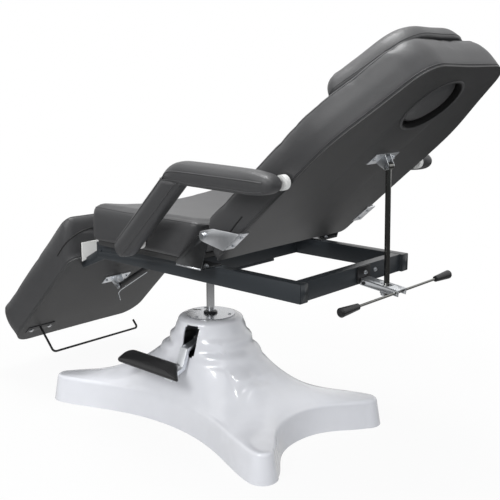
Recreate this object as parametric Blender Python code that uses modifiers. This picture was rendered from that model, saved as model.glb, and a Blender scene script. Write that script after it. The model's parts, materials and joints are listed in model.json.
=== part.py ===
"""Hydraulic massage couch: lobed pump base, lifting and swivelling frame, reclining back, hinged leg rest.

+X points to the head end, +Z up, and the origin lies on the floor under the lifting column.
Sizes are in metres and angles in degrees.
"""
import math

import bmesh
import bpy
from mathutils import Matrix, Vector

# Clearances
FIT_GAP = 0.0003
BOARD_INSET = 0.003
PIN_PLAY = 0.0005
COLUMN_PLAY = 0.0006
PLATE_PLAY = 0.0010
PIN_PROUD = 0.003

# Steel frame of rectangular tube
FRAME_WIDTH = 0.500
FRAME_UNDERSIDE = 0.513
TUBE_HEIGHT = 0.050
TUBE_WIDTH = 0.030
TUBE_WALL = 0.002
RAIL_FRONT_X = -0.245
RAIL_REAR_X = 0.559
REAR_RAIL_SETBACK = 0.008
MIDDLE_RAIL_X = 0.155
COLUMN_RAIL_X = -0.110
FRONT_RAIL_X = -0.190

# Lobed base
BASE_TIP = (0.484, 0.267)
BASE_TIP_ROUND = 0.042
BASE_WAIST_Y = 0.180
BASE_NOTCH_X = 0.360
BASE_RIM_HEIGHT = 0.088
BASE_RIM_DRAFT = 0.012
BASE_RIM_ROUND = 0.016
BASE_LIP = 0.014
BASE_TOP_HEIGHT = 0.325
BASE_NECK_DROP = 0.055
BASE_TOP_ROUND = 0.018
BASE_TOP_RADIUS = 0.098
BASE_NECK_RADIUS = 0.122
BASE_MOUTH_RADIUS = 0.055
BASE_SKIN = 0.004
FLOOR_PLATE_THICKNESS = 0.008
TOP_DISC_RADIUS = 0.077
TOP_DISC_THICKNESS = 0.003

# Hydraulic pump and column
COLUMN_RADIUS = 0.0127
COLUMN_FOOT = 0.118
COLUMN_TOP = 0.487
PUMP_RADIUS = 0.045
PUMP_BELOW_TOP = 0.010
PUMP_FLANGE_RADIUS = 0.080
PUMP_FLANGE_THICKNESS = 0.010
PUMP_FLOOR = 0.014
GLAND_RADIUS = 0.022
GLAND_HEIGHT = 0.010
GLAND_CHAMFER = 0.003
HUB_FOOT = 0.446
HUB_RADIUS = 0.030
HUB_FLANGE_RADIUS = 0.060
HUB_FLANGE_THICKNESS = 0.008
MOUNT_PLATE_THICKNESS = 0.008
MOUNT_PLATE_WIDTH = 0.220

# Pump pedal
PEDAL_X = 0.020
PEDAL_PIVOT_Y = -0.066
PEDAL_PIVOT_BELOW_TOP = 0.067
PEDAL_PIN_RADIUS = 0.004
PEDAL_LEVER_WIDTH = 0.030
PEDAL_LEVER_DEPTH = 0.016
PEDAL_KNEE = (-0.067, -0.014)
PEDAL_UNDER_SHOE = (1.08, 0.12)
PEDAL_SLOT_WIDTH = 0.052
PEDAL_SLOT_BELOW_PIVOT = 0.040
PEDAL_SLOT_ABOVE_PIVOT = 0.054
PEDAL_EAR = 0.005
PEDAL_EAR_RIM = 0.006
SHOE_FRONT = (-0.156, -0.076)
SHOE_BACK = (-0.098, -0.054)
SHOE_FRONT_X = (-0.204, 0.080)
SHOE_BACK_X = (-0.206, 0.012)
SHOE_THICKNESS = 0.007
SHOE_CROWN = 0.006

# Upholstery
PAD_HALF_WIDTH = 0.297
BOARD_THICKNESS = 0.015
SEAT_THICKNESS = 0.115
SEAT_CROWN = 0.004
SEAT_DISH = 0.030
SEAT_FRONT_X = -0.222
SEAT_REAR_X = 0.183
SEAT_REAR_OVERHANG = 0.070
SEAT_CORNER = 0.026
SEAT_REAR_CORNER = 0.030
SEAT_SLANT_RUN = 0.160
SEAT_BOARD_INSET = (0.022, 0.020)
BACK_RISE = 41.8
BACK_THICKNESS = 0.085
BACK_CROWN = 0.008
BACK_LENGTH = 0.772
BACK_LOWER_SETBACK = 0.050
BACK_SLANT_RUN = 0.200
BACK_HEAD_LEAN = 0.014
BACK_TAPER = 0.282
BACK_HEAD_HALF_WIDTH = 0.190
BACK_HEAD_CORNER = 0.100
BACK_SHOULDER_ROUND = 0.450
BACK_FOOT_CORNER = 0.030
BACK_PIVOT_X = 0.280
BACK_PIVOT_INSET = 0.039
BACK_PIVOT_DEPTH = 0.065
FACE_HOLE_FROM_HEAD = 0.149
FACE_HOLE_HALF_LENGTH = 0.083
FACE_HOLE_HALF_WIDTH = 0.086
FACE_PLUG_RECESS = 0.014
PILLOW_LENGTH = 0.226
PILLOW_FROM_HEAD = 0.020
PILLOW_FOOT_HALF_WIDTH = 0.262
PILLOW_HEAD_HALF_WIDTH = 0.165
PILLOW_FOOT_CORNER = 0.035
PILLOW_HEAD_CORNER = 0.130
PILLOW_THICKNESS = 0.034
PILLOW_CROWN = 0.008
PILLOW_REST = 0.84
LEG_DROP = 44.0
LEG_THICKNESS = 0.098
LEG_CROWN = 0.010
LEG_HALF_WIDTH = 0.292
LEG_LENGTH = 0.535
LEG_TOP_OVERHANG = 0.094
LEG_SLANT_RUN = 0.200
LEG_END_CORNER = 0.085
LEG_TOP_CORNER = 0.030
LEG_PIVOT_X = -0.228
LEG_PIVOT_TO_PAD = 0.1023
LEG_PIVOT_DEPTH = 0.0486

# Hinges at the back and at the leg rest
HINGE_PLATE = 0.004
HINGE_EYE = 0.015
HINGE_PIN_RADIUS = 0.005
HINGE_PIN_HEAD = (0.009, 0.005)
HINGE_SIDE_GAP = 0.004
HINGE_FOOT_X = (0.170, 0.266)
HINGE_FLANGE = 0.038
HINGE_FLANGE_SPAN = (0.034, 0.105)
LEG_ARM_WIDTH = 0.030
LEG_ARM_REACH = 0.048
LEG_ARM_TAIL = 0.016

# Back strut, its lock and its release bar
STRUT_Y = 0.033
STRUT_RADIUS = 0.0075
STRUT_EYE = 0.011
STRUT_TOP = (0.375, 0.028)
STRUT_BELOW_LOCK = 0.034
LOCK_PIVOT = (0.568, 0.530)
LOCK_DROP = 6.0
LOCK_REACH = 0.110
LOCK_ROD_REACH = 0.061
LOCK_WIDTH = 0.040
LOCK_SHEET = 0.0025
LOCK_FLANGE = 0.018
LOCK_SLOT_PLAY = 0.0078
LOCK_PIN_DROP = 0.0105
LOCK_BAR_INSET = 0.010
LOCK_BLOCK_HEIGHT = 0.044
LOCK_BLOCK_WIDTH = 0.060
LOCK_BLOCK_BACKING = 0.005
RELEASE_BAR_RADIUS = 0.0035
RELEASE_BAR_HALF = 0.200
GRIP_LENGTH = 0.078
GRIP_OVERLAP = 0.012
GRIP_RADII = (0.0085, 0.0125)

# Folded brackets that carry a pin between two ears
EAR_SHEET = 0.003
EAR_RIM = 0.006
EAR_GAP = 0.022
BRACKET_PIN_RADIUS = 0.004
BACK_BRACKET = (0.110, 0.040)
LEG_BRACKET = (0.110, 0.040)
ANCHOR_BRACKET = (0.060, 0.036)

# Leg rest strut
LEG_STRUT_Y = 0.010
LEG_STRUT_FOOT = (0.302, 0.035)
LEG_STRUT_HEAD = (-0.199, 0.490)
LEG_SLEEVE_RADIUS = 0.010
LEG_SLEEVE_BORE = 0.0068
LEG_SLEEVE_LENGTH = 0.190
LEG_ROD_RADIUS = 0.0062
LEG_ROD_START = 0.070
LEG_EYE = 0.011
HEAD_EYE = 0.0135
HEAD_EYE_PLAY = 0.0042
TRIGGER_RADIUS = 0.0016
TRIGGER_REACH = 0.160
TRIGGER_HOOK = ((0.012, 0.003), (0.030, 0.008), (0.034, 0.034))

# Paper roll bar under the leg rest
ROLL_BAR_RADIUS = 0.004
ROLL_BAR_PLACE = 0.552
ROLL_BAR_DROP = 0.107
ROLL_BAR_SPAN = (-0.195, 0.190)
ROLL_BAR_LIP = 0.036
ROLL_BAR_BEND = 0.012
ROLL_PLATE = (0.032, 0.110, 0.003)

# Armrests
ARM_SEAT_PIVOT = (0.017, 0.605)
ARM_BACK_PIVOT = (0.543, 0.822)
ARM_ELBOW = (0.243, 0.829)
ARM_ELBOW_RADIUS = 0.080
ARM_FOOT_REACH = 0.034
ARM_END_REACH = 0.012
ARM_WIDTH = 0.066
ARM_THICKNESS = 0.060
ARM_SIDE_GAP = 0.014
SPACER_RADIUS = 0.019
SPACER_BORE = 0.006
ARM_BOLT_RADIUS = 0.005
ARM_BOLT_DEPTH = 0.030
ARM_BOLT_RECESS = 0.012

# Counts of facets
ROUND = 24
BASE_FACETS = 16
PAD_FACETS = 7

# Worked out from the sizes above
FRAME_TOP = FRAME_UNDERSIDE + TUBE_HEIGHT
HALF_FRAME = FRAME_WIDTH / 2
INNER_HALF = HALF_FRAME - TUBE_WIDTH
SEAT_BOARD_LOW = FRAME_TOP + FIT_GAP
SEAT_PAD_LOW = SEAT_BOARD_LOW + BOARD_THICKNESS + FIT_GAP
SEAT_TOP = SEAT_PAD_LOW + SEAT_THICKNESS
BACK_TOTAL = BOARD_THICKNESS + FIT_GAP + BACK_THICKNESS
BACK_PIVOT_Z = SEAT_TOP - (BACK_TOTAL - BACK_PIVOT_DEPTH)
LEG_PIVOT_Z = FRAME_UNDERSIDE + TUBE_HEIGHT / 2
REAR_FACE_X = RAIL_REAR_X - REAR_RAIL_SETBACK
HINGE_INNER_Y = PAD_HALF_WIDTH + HINGE_SIDE_GAP
BACK_HEAD_X = BACK_LENGTH - BACK_PIVOT_INSET
BASE_NECK_HEIGHT = BASE_TOP_HEIGHT - BASE_NECK_DROP
PUMP_TOP = BASE_TOP_HEIGHT - PUMP_BELOW_TOP
PEDAL_PIVOT_Z = BASE_TOP_HEIGHT - PEDAL_PIVOT_BELOW_TOP
ARM_INNER_Y = PAD_HALF_WIDTH + ARM_SIDE_GAP + 2 * FIT_GAP

# Colour, roughness and metallic value of each finish
FINISHES = {
    "leather": ((0.070, 0.070, 0.073), 0.45, 0.0),
    "frame_paint": ((0.030, 0.035, 0.040), 0.40, 0.3),
    "white_shell": ((0.780, 0.790, 0.830), 0.12, 0.0),
    "zinc": ((0.620, 0.630, 0.650), 0.28, 1.0),
    "chrome": ((0.750, 0.750, 0.760), 0.10, 1.0),
    "black_plastic": ((0.010, 0.010, 0.011), 0.35, 0.0),
    "black_wire": ((0.014, 0.014, 0.015), 0.40, 0.2),
    "nylon": ((0.830, 0.820, 0.800), 0.40, 0.0),
    "covered_board": ((0.062, 0.062, 0.065), 0.55, 0.0),
    "pump_paint": ((0.020, 0.020, 0.022), 0.50, 0.2),
    "grey_steel": ((0.420, 0.430, 0.450), 0.30, 1.0),
}


def clear_scene():
    for old in list(bpy.data.objects):
        bpy.data.objects.remove(old, do_unlink=True)


def new_collection(name):
    group = bpy.data.collections.new(name)
    bpy.context.scene.collection.children.link(group)
    return group


clear_scene()
COUCH = new_collection("massage_couch")
CUTTERS = new_collection("cutters")


# Objects, finishes and joint axes

def finish_material(name, finish):
    colour, roughness, metallic = FINISHES[finish]
    made = bpy.data.materials.new(name)
    made.use_nodes = True
    shader = made.node_tree.nodes["Principled BSDF"]
    shader.inputs["Base Color"].default_value = (*colour, 1.0)
    shader.inputs["Roughness"].default_value = roughness
    shader.inputs["Metallic"].default_value = metallic
    return made


def place(name, mesh, finish, axis=None, location=(0, 0, 0)):
    """One piece of the couch, placed in the frame of its joint axis."""
    piece = bpy.data.objects.new(name, mesh)
    mesh.name = name
    mesh.materials.clear()
    mesh.materials.append(finish_material(name, finish))
    COUCH.objects.link(piece)
    piece.parent = axis
    piece.location = location
    return piece


def joint_axis(name, location, tilt=0.0, parent=None):
    """An empty on a joint's axis, tilted about Y so that its local X runs along the piece."""
    empty = bpy.data.objects.new(name, None)
    empty.empty_display_size = 0.05
    COUCH.objects.link(empty)
    empty.parent = parent
    empty.location = location
    empty.rotation_euler = (0, math.radians(tilt), 0)
    return empty


def tool(name, mesh, axis=None, location=(0, 0, 0)):
    """A hidden helper solid for a Boolean."""
    helper = bpy.data.objects.new(name, mesh)
    CUTTERS.objects.link(helper)
    helper.parent = axis
    helper.location = location
    helper.hide_render = True
    helper.display_type = "WIRE"
    return helper


def boolean(piece, helper, operation):
    step = piece.modifiers.new(helper.name, "BOOLEAN")
    step.operation = operation
    step.object = helper
    step.solver = "EXACT"


def cut(piece, mesh, axis=None, location=(0, 0, 0)):
    boolean(piece, tool(piece.name + "_cutter", mesh, axis, location), "DIFFERENCE")


def unite(piece, mesh, axis=None, location=(0, 0, 0)):
    boolean(piece, tool(piece.name + "_joined", mesh, axis, location), "UNION")


# Meshes

TURN_TO = {
    "Z": Matrix.Identity(4),
    "Y": Matrix.Rotation(math.radians(90), 4, "X"),
    "X": Matrix.Rotation(math.radians(90), 4, "Y"),
}


def finished(bm, smooth_angle=None):
    bmesh.ops.remove_doubles(bm, verts=bm.verts, dist=0.00001)
    mesh = bpy.data.meshes.new("shape")
    bm.to_mesh(mesh)
    bm.free()
    if smooth_angle:
        mesh.shade_smooth()
        mesh.set_sharp_from_angle(angle=math.radians(smooth_angle))
    return mesh


def box(low, high):
    low, high = Vector(low), Vector(high)
    bm = bmesh.new()
    bmesh.ops.create_cube(bm, size=1.0)
    bmesh.ops.scale(bm, vec=high - low, verts=bm.verts)
    bmesh.ops.translate(bm, vec=(low + high) / 2, verts=bm.verts)
    return finished(bm)


def bar(radius, start, length, axis="Z", end_radius=None, centre=(0, 0, 0), sides=ROUND):
    """A round bar from start to start + length along an axis through centre."""
    bm = bmesh.new()
    last = radius if end_radius is None else end_radius
    bmesh.ops.create_cone(bm, cap_ends=True, segments=sides, radius1=radius, radius2=last, depth=length)
    bmesh.ops.translate(bm, vec=(0, 0, start + length / 2), verts=bm.verts)
    turn = TURN_TO["Y"].inverted() if axis == "Y" else TURN_TO[axis]
    bmesh.ops.transform(bm, matrix=Matrix.Translation(centre) @ turn, verts=bm.verts)
    return finished(bm, 40)


def curve_mesh(curve, smooth_angle=None):
    """The closed mesh of a curve with its caps welded."""
    holder = bpy.data.objects.new("curve", curve)
    bpy.context.scene.collection.objects.link(holder)
    graph = bpy.context.evaluated_depsgraph_get()
    raw = bpy.data.meshes.new_from_object(holder.evaluated_get(graph))
    bpy.data.objects.remove(holder, do_unlink=True)
    bm = bmesh.new()
    bm.from_mesh(raw)
    bpy.data.meshes.remove(raw)
    bmesh.ops.remove_doubles(bm, verts=bm.verts, dist=0.00001)
    bmesh.ops.recalc_face_normals(bm, faces=bm.faces)
    return finished(bm, smooth_angle)


def plate(outline, thickness, holes=(), axis="Z", start=0.0, smooth_angle=None):
    """A flat outline from start to start + thickness along an axis.

    On Y the outline is (x, z), on X it is (y, z).
    """
    curve = bpy.data.curves.new("outline", "CURVE")
    curve.dimensions = "2D"
    curve.fill_mode = "BOTH"
    curve.extrude = thickness / 2
    for loop in (outline, *holes):
        spline = curve.splines.new("POLY")
        spline.points.add(len(loop) - 1)
        for point, (across, up) in zip(spline.points, loop):
            point.co = (across, up, 0, 1)
        spline.use_cyclic_u = True
    mesh = curve_mesh(curve, smooth_angle)
    middle = start + thickness / 2
    if axis == "Y":
        mesh.transform(Matrix.Translation((0, middle, 0)) @ TURN_TO["Y"])
    elif axis == "X":
        columns = Matrix(((0, 0, 1, 0), (1, 0, 0, 0), (0, 1, 0, 0), (0, 0, 0, 1)))
        mesh.transform(Matrix.Translation((middle, 0, 0)) @ columns)
    else:
        mesh.transform(Matrix.Translation((0, 0, middle)))
    return mesh


def wire(points, radius, resolution=2):
    curve = bpy.data.curves.new("wire", "CURVE")
    curve.dimensions = "3D"
    curve.bevel_depth = radius
    curve.bevel_resolution = resolution
    curve.use_fill_caps = True
    spline = curve.splines.new("POLY")
    spline.points.add(len(points) - 1)
    for point, place_at in zip(spline.points, points):
        point.co = (*place_at, 1)
    return curve_mesh(curve, 40)


def turned(profile, steps=ROUND):
    """A profile of (radius, height), outer side downwards, turned about Z and open only along the axis."""
    bm = bmesh.new()
    corners = [bm.verts.new((radius, 0, height)) for radius, height in profile]
    for first, second in zip(corners, corners[1:] + corners[:1]):
        if first.co.x or second.co.x:
            bm.edges.new((first, second))
    mesh = bpy.data.meshes.new("profile")
    bm.to_mesh(mesh)
    bm.free()
    return mesh, steps


def place_turned(name, shape, finish, axis=None, location=(0, 0, 0)):
    mesh, steps = shape
    piece = place(name, mesh, finish, axis, location)
    screw = piece.modifiers.new("turn", "SCREW")
    screw.angle = math.radians(360)
    screw.steps = steps
    screw.render_steps = steps
    screw.use_merge_vertices = True
    screw.merge_threshold = 0.00001
    screw.use_smooth_shade = False
    return piece


def loft(rings, start_cap=None, end_cap=None, smooth_angle=None):
    """Skin over rings of equal counts; a cap is a point that closes the first or the last ring."""
    bm = bmesh.new()
    loops = [[bm.verts.new(point) for point in ring] for ring in rings]
    count = len(rings[0])
    for below, above in zip(loops, loops[1:]):
        for i in range(count):
            j = (i + 1) % count
            bm.faces.new((below[i], below[j], above[j], above[i]))
    for cap, loop, order in ((start_cap, loops[0], -1), (end_cap, loops[-1], 1)):
        if cap is None:
            continue
        tip = bm.verts.new(cap)
        for i in range(count):
            edge = (loop[i], loop[(i + 1) % count])[::order]
            bm.faces.new((*edge, tip))
    return finished(bm, smooth_angle)


# Outlines

def circle(centre, radius, sides=ROUND):
    turns = (2 * math.pi * i / sides for i in range(sides))
    return [(centre[0] + radius * math.cos(a), centre[1] + radius * math.sin(a)) for a in turns]


def ellipse(centre, half_length, half_width, sides=ROUND + 8):
    turns = (2 * math.pi * i / sides for i in range(sides))
    return [(centre[0] + half_length * math.cos(a), centre[1] + half_width * math.sin(a)) for a in turns]


def rounded(corners, radii, steps=PAD_FACETS):
    """A closed outline through corners, each replaced by an arc of its own radius."""
    outline = []
    for i, corner in enumerate(corners):
        here = Vector(corner)
        before = (Vector(corners[i - 1]) - here).normalized()
        after = (Vector(corners[(i + 1) % len(corners)]) - here).normalized()
        half = before.angle(after) / 2
        reach = radii[i] / math.tan(half)
        middle = here + (before + after).normalized() * (radii[i] / math.sin(half))
        first = here + before * reach - middle
        last = here + after * reach - middle
        sweep = first.angle_signed(last)
        for k in range(steps + 1):
            turn = Matrix.Rotation(-sweep * k / steps, 2)
            outline.append(tuple(middle + turn @ first))
    return outline


def filled_in(outline, longest):
    """The outline with extra points on its long straight runs."""
    dense = []
    for first, second in zip(outline, outline[1:] + outline[:1]):
        run = Vector(second) - Vector(first)
        pieces = max(1, math.ceil(run.length / longest))
        dense += [tuple(Vector(first) + run * k / pieces) for k in range(pieces)]
    return dense


def inset(outline, distance):
    """A counter-clockwise outline moved inwards."""
    moved = []
    for i, point in enumerate(outline):
        along = Vector(outline[(i + 1) % len(outline)]) - Vector(outline[i - 1])
        inward = Vector((-along.y, along.x)).normalized()
        moved.append(tuple(Vector(point) + inward * distance))
    return moved


def bent_path(points, radius, steps=5):
    """A path whose inner corners are bent to a radius."""
    path = [Vector(points[0])]
    for before, here, after in zip(points, points[1:], points[2:]):
        here = Vector(here)
        back = (Vector(before) - here).normalized()
        ahead = (Vector(after) - here).normalized()
        half = back.angle(ahead) / 2
        reach = radius / math.tan(half)
        middle = here + (back + ahead).normalized() * (radius / math.sin(half))
        spoke = here + back * reach - middle
        turn_axis = ahead.cross(back)
        for k in range(steps + 1):
            turn = Matrix.Rotation((math.pi - 2 * half) * k / steps, 3, turn_axis)
            path.append(middle + turn @ spoke)
    path.append(Vector(points[-1]))
    return path


def bezier(start, lead, trail, end, steps):
    """Points of a cubic curve, without its last one."""
    points = []
    for k in range(steps):
        t = k / steps
        terms = ((1 - t) ** 3, 3 * t * (1 - t) ** 2, 3 * t * t * (1 - t), t ** 3)
        points.append(tuple(sum(w * p[i] for w, p in zip(terms, (start, lead, trail, end))) for i in (0, 1)))
    return points


def tube_section(width, height):
    x, y = width / 2, height / 2
    outer = [(-x, -y), (x, -y), (x, y), (-x, y)]
    inner = [(x - math.copysign(TUBE_WALL, x), y - math.copysign(TUBE_WALL, y)) for x, y in outer]
    return outer, inner


# Soft pads

PAD_SIDE = ((0.009, 0.00), (0.002, 0.10), (0.000, 0.40), (0.001, 0.70), (0.006, 0.90), (0.017, 1.00))
PAD_TOP = (0.80, 0.55, 0.28)
SIDE_DRAW = 0.004
SIDE_DRAW_RUN = 0.180


def drawn_in(outline, corner_points):
    """Side midpoints pulled in between the corners, as the cover does when it is stretched."""
    pulled = inset(outline, SIDE_DRAW)
    result = []
    for point, drawn in zip(outline, pulled):
        nearest = min((Vector(point) - Vector(corner)).length for corner in corner_points)
        share = min(1.0, nearest / SIDE_DRAW_RUN)
        result.append(tuple(Vector(point).lerp(Vector(drawn), share)))
    return result


def cushion(outline, low, thickness, crown, shear=None, dish=0.0):
    """A crowned pad on a flat underside; shear(x, share of the height) moves a slanted end along X.

    A dish lowers the pad's middle between its two sides.
    """
    middle = sum((Vector(point) for point in outline), Vector((0, 0))) / len(outline)
    levels = [(inset(outline, step), share) for step, share in PAD_SIDE]
    last = levels[-1][0]
    rings = [[(x, y, low + thickness * share) for x, y in ring] for ring, share in levels]
    for scale in PAD_TOP:
        lift = low + thickness + crown * (1 - scale ** 2)
        rings.append([(*(middle + (Vector(point) - middle) * scale), lift) for point in last])
    half_width = max(y for x, y in outline)

    def shaped(point):
        x, y, z = point
        share = min(1.0, (z - low) / thickness)
        slant = shear(x, share) if shear else 0.0
        return x + slant, y, z - dish * share * (1 - (y / half_width) ** 2)

    rings = [[shaped(point) for point in ring] for ring in rings]
    return loft(rings, (*middle, low), shaped((*middle, low + thickness + crown)), smooth_angle=50)


# Base with its pump

def base_outline():
    """The lobed plan of the base, counter-clockwise, built from one quarter."""
    tip_x, tip_y = BASE_TIP
    neck = (tip_x - BASE_TIP_ROUND * 0.5, tip_y - BASE_TIP_ROUND * 1.3)
    heel = (tip_x - BASE_TIP_ROUND * 1.8, tip_y + BASE_TIP_ROUND * 0.5)
    quarter = bezier((BASE_NOTCH_X, 0), (BASE_NOTCH_X, tip_y * 0.45),
                     (neck[0] - 0.03, neck[1] - 0.06), neck, 6)
    quarter += bezier(neck, (tip_x + 0.012, neck[1] + 0.03), (tip_x - 0.008, tip_y + 0.042), heel, 5)
    quarter += bezier(heel, (heel[0] - 0.10, heel[1] - 0.025),
                      (tip_x * 0.4, BASE_WAIST_Y), (0, BASE_WAIST_Y), BASE_FACETS - 11)
    top = [(0, BASE_WAIST_Y)] + [(-x, y) for x, y in reversed(quarter)]
    upper = quarter + top
    lower = [(x, -y) for x, y in reversed(upper[1:-1])]
    return upper + lower


def base_surface(outline):
    """Rings of the moulded cover from the floor up to the mouth round the column."""
    rim = inset(outline, BASE_RIM_DRAFT)
    lip = inset(outline, BASE_RIM_DRAFT + BASE_LIP)
    rings = [[(x, y, 0.001) for x, y in outline]]
    rings.append([(x, y, BASE_RIM_HEIGHT - BASE_RIM_ROUND) for x, y in rim])
    rings.append([(x, y, BASE_RIM_HEIGHT) for x, y in lip])
    reach_range = math.hypot(*BASE_TIP) - BASE_WAIST_Y
    for share in (0.80, 0.62, 0.46, 0.32, 0.20, 0.09, 0.0):
        ring = []
        for x, y in lip:
            reach = math.hypot(x, y)
            bend = 1.0 + 1.4 * max(0.0, min(1.0, (reach - BASE_WAIST_Y) / reach_range))
            radius = BASE_NECK_RADIUS + (reach - BASE_NECK_RADIUS) * share
            height = BASE_RIM_HEIGHT + (BASE_NECK_HEIGHT - BASE_RIM_HEIGHT) * (1 - share) ** bend
            ring.append((x * radius / reach, y * radius / reach, height))
        rings.append(ring)
    soft = BASE_TOP_ROUND
    crown = ((BASE_TOP_RADIUS + soft * 0.33, BASE_TOP_HEIGHT - soft * 0.9),
             (BASE_TOP_RADIUS - soft * 0.33, BASE_TOP_HEIGHT - soft * 0.17),
             (BASE_TOP_RADIUS - soft, BASE_TOP_HEIGHT), (BASE_MOUTH_RADIUS, BASE_TOP_HEIGHT))
    for radius, height in crown:
        headings = [Vector(point).normalized() for point in lip]
        rings.append([(*(heading * radius), height) for heading in headings])
    return rings


def build_base():
    outline = base_outline()
    cover = place("base_cover", loft(base_surface(outline), smooth_angle=40), "white_shell")
    shell = cover.modifiers.new("skin", "SOLIDIFY")
    shell.thickness = BASE_SKIN
    shell.offset = -1
    shell.use_even_offset = True
    slot_middle = Vector((PEDAL_X, -BASE_NECK_RADIUS, 0))
    slot_half = PEDAL_SLOT_WIDTH / 2
    slot_depth = BASE_NECK_RADIUS / 2
    slot = box(slot_middle + Vector((-slot_half, -slot_depth, PEDAL_PIVOT_Z - PEDAL_SLOT_BELOW_PIVOT)),
               slot_middle + Vector((slot_half, slot_depth, PEDAL_PIVOT_Z + PEDAL_SLOT_ABOVE_PIVOT)))
    cut(cover, slot)
    lean = BASE_RIM_DRAFT * FLOOR_PLATE_THICKNESS / (BASE_RIM_HEIGHT - BASE_RIM_ROUND)
    floor_outline = inset(outline, BASE_SKIN + lean + PLATE_PLAY)
    place("floor_plate", plate(floor_outline, FLOOR_PLATE_THICKNESS), "pump_paint")

    flange_low = FLOOR_PLATE_THICKNESS + FIT_GAP
    flange_top = flange_low + PUMP_FLANGE_THICKNESS
    bore = COLUMN_RADIUS + COLUMN_PLAY
    floor = flange_low + PUMP_FLOOR
    pump = [(PUMP_RADIUS, PUMP_TOP), (PUMP_RADIUS, flange_top), (PUMP_FLANGE_RADIUS, flange_top),
            (PUMP_FLANGE_RADIUS, flange_low), (0.0, flange_low), (0.0, floor), (bore, floor),
            (bore, PUMP_TOP)]
    place_turned("pump_cylinder", turned(pump), "pump_paint")

    disc_low = BASE_TOP_HEIGHT + FIT_GAP
    disc_top = disc_low + TOP_DISC_THICKNESS
    disc_hole = GLAND_RADIUS + FIT_GAP
    disc = [(TOP_DISC_RADIUS, disc_top), (TOP_DISC_RADIUS, disc_low), (disc_hole, disc_low),
            (disc_hole, disc_top)]
    place_turned("top_disc", turned(disc, 32), "grey_steel")
    gland_top = disc_top + GLAND_HEIGHT - TOP_DISC_THICKNESS
    gland_low = PUMP_TOP + FIT_GAP
    gland = [(GLAND_RADIUS - GLAND_CHAMFER, gland_top), (GLAND_RADIUS, gland_top - GLAND_CHAMFER),
             (GLAND_RADIUS, gland_low), (bore, gland_low), (bore, gland_top)]
    place_turned("column_gland", turned(gland), "black_plastic")

    ear_inner = PEDAL_LEVER_WIDTH / 2 + FIT_GAP
    seat_y = -math.sqrt(PUMP_RADIUS ** 2 - (PEDAL_X + ear_inner + PEDAL_EAR) ** 2)
    pivot_y, pivot_z = PEDAL_PIVOT_Y, PEDAL_PIVOT_Z
    ear_reach = PEDAL_PIN_RADIUS + PEDAL_EAR_RIM
    yoke = [(-ear_inner - PEDAL_EAR, seat_y), (-ear_inner - PEDAL_EAR, pivot_y - ear_reach),
            (-ear_inner, pivot_y - ear_reach), (-ear_inner, pivot_y + PEDAL_LEVER_DEPTH),
            (ear_inner, pivot_y + PEDAL_LEVER_DEPTH), (ear_inner, pivot_y - ear_reach),
            (ear_inner + PEDAL_EAR, pivot_y - ear_reach), (ear_inner + PEDAL_EAR, seat_y)]
    low = pivot_z - ear_reach
    yoke_shape = plate([(PEDAL_X + x, y) for x, y in yoke], 2 * ear_reach, start=low)
    bracket = place("pedal_bracket", yoke_shape, "pump_paint")
    cut(bracket, bar(PUMP_RADIUS + FIT_GAP, low - 0.01, 2 * ear_reach + 0.02))
    pin_half = ear_inner + PEDAL_EAR + PIN_PROUD
    pin_place = (PEDAL_X, pivot_y, pivot_z)
    cut(bracket, bar(PEDAL_PIN_RADIUS + PIN_PLAY, -2 * pin_half, 4 * pin_half, "X", centre=pin_place))
    pin = bar(PEDAL_PIN_RADIUS, -pin_half, 2 * pin_half, "X", centre=pin_place)
    place("pedal_pin", pin, "grey_steel")


def build_pedal():
    axis = joint_axis("pedal_axis", (PEDAL_X, PEDAL_PIVOT_Y, PEDAL_PIVOT_Z))
    front, back = Vector(SHOE_FRONT), Vector(SHOE_BACK)
    slope = (back - front).normalized()
    up = Vector((-slope.y, slope.x))
    half = PEDAL_LEVER_DEPTH / 2
    sunk = up * (SHOE_THICKNESS + FIT_GAP + half)
    route = [Vector((0, 0)), Vector(PEDAL_KNEE)]
    route += [front.lerp(back, share) - sunk for share in PEDAL_UNDER_SHOE]
    runs = [(after - before).normalized() for before, after in zip(route, route[1:])]
    bends = [(before + after).normalized() for before, after in zip(runs, runs[1:])] + [runs[-1]]
    sides = [Vector((-run.y, run.x)) * half for run in bends]
    heel = math.atan2(runs[0].y, runs[0].x) + math.pi / 2
    outline = [spot + side for spot, side in zip(route[1:], sides)]
    outline += [spot - side for spot, side in reversed(list(zip(route[1:], sides)))]
    turns = (heel + math.pi * (1 - k / 8) for k in range(9))
    outline += [Vector((math.cos(turn), math.sin(turn))) * half for turn in turns]
    width = PEDAL_LEVER_WIDTH
    pin_hole = circle((0, 0), PEDAL_PIN_RADIUS + PIN_PLAY, 16)
    lever = plate([tuple(spot) for spot in outline], width, [pin_hole], axis="X", start=-width / 2)
    place("pedal_lever", lever, "zinc", axis)

    rings = []
    crowned = ((0, 0), (0.25, 1.0), (0.5, 1.3), (0.75, 1.0), (1, 0))
    for along in range(9):
        top, under = [], []
        for share, lift in crowned:
            start = SHOE_FRONT_X[0] + (SHOE_BACK_X[0] - SHOE_FRONT_X[0]) * share
            end = SHOE_FRONT_X[1] + (SHOE_BACK_X[1] - SHOE_FRONT_X[1]) * share
            x = start + (end - start) * along / 8 - PEDAL_X
            spot = front.lerp(back, share)
            top.append((x, *(spot + up * SHOE_CROWN * lift)))
            under.append((x, *(spot - up * SHOE_THICKNESS)))
        rings.append([Vector(point) for point in under + top[::-1]])
    ends = [sum(ring, Vector()) / len(ring) for ring in (rings[0], rings[-1])]
    place("pedal_shoe", loft(rings, ends[0], ends[1], smooth_angle=40), "black_plastic", axis)


# Column, hub and tube frame

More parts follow.
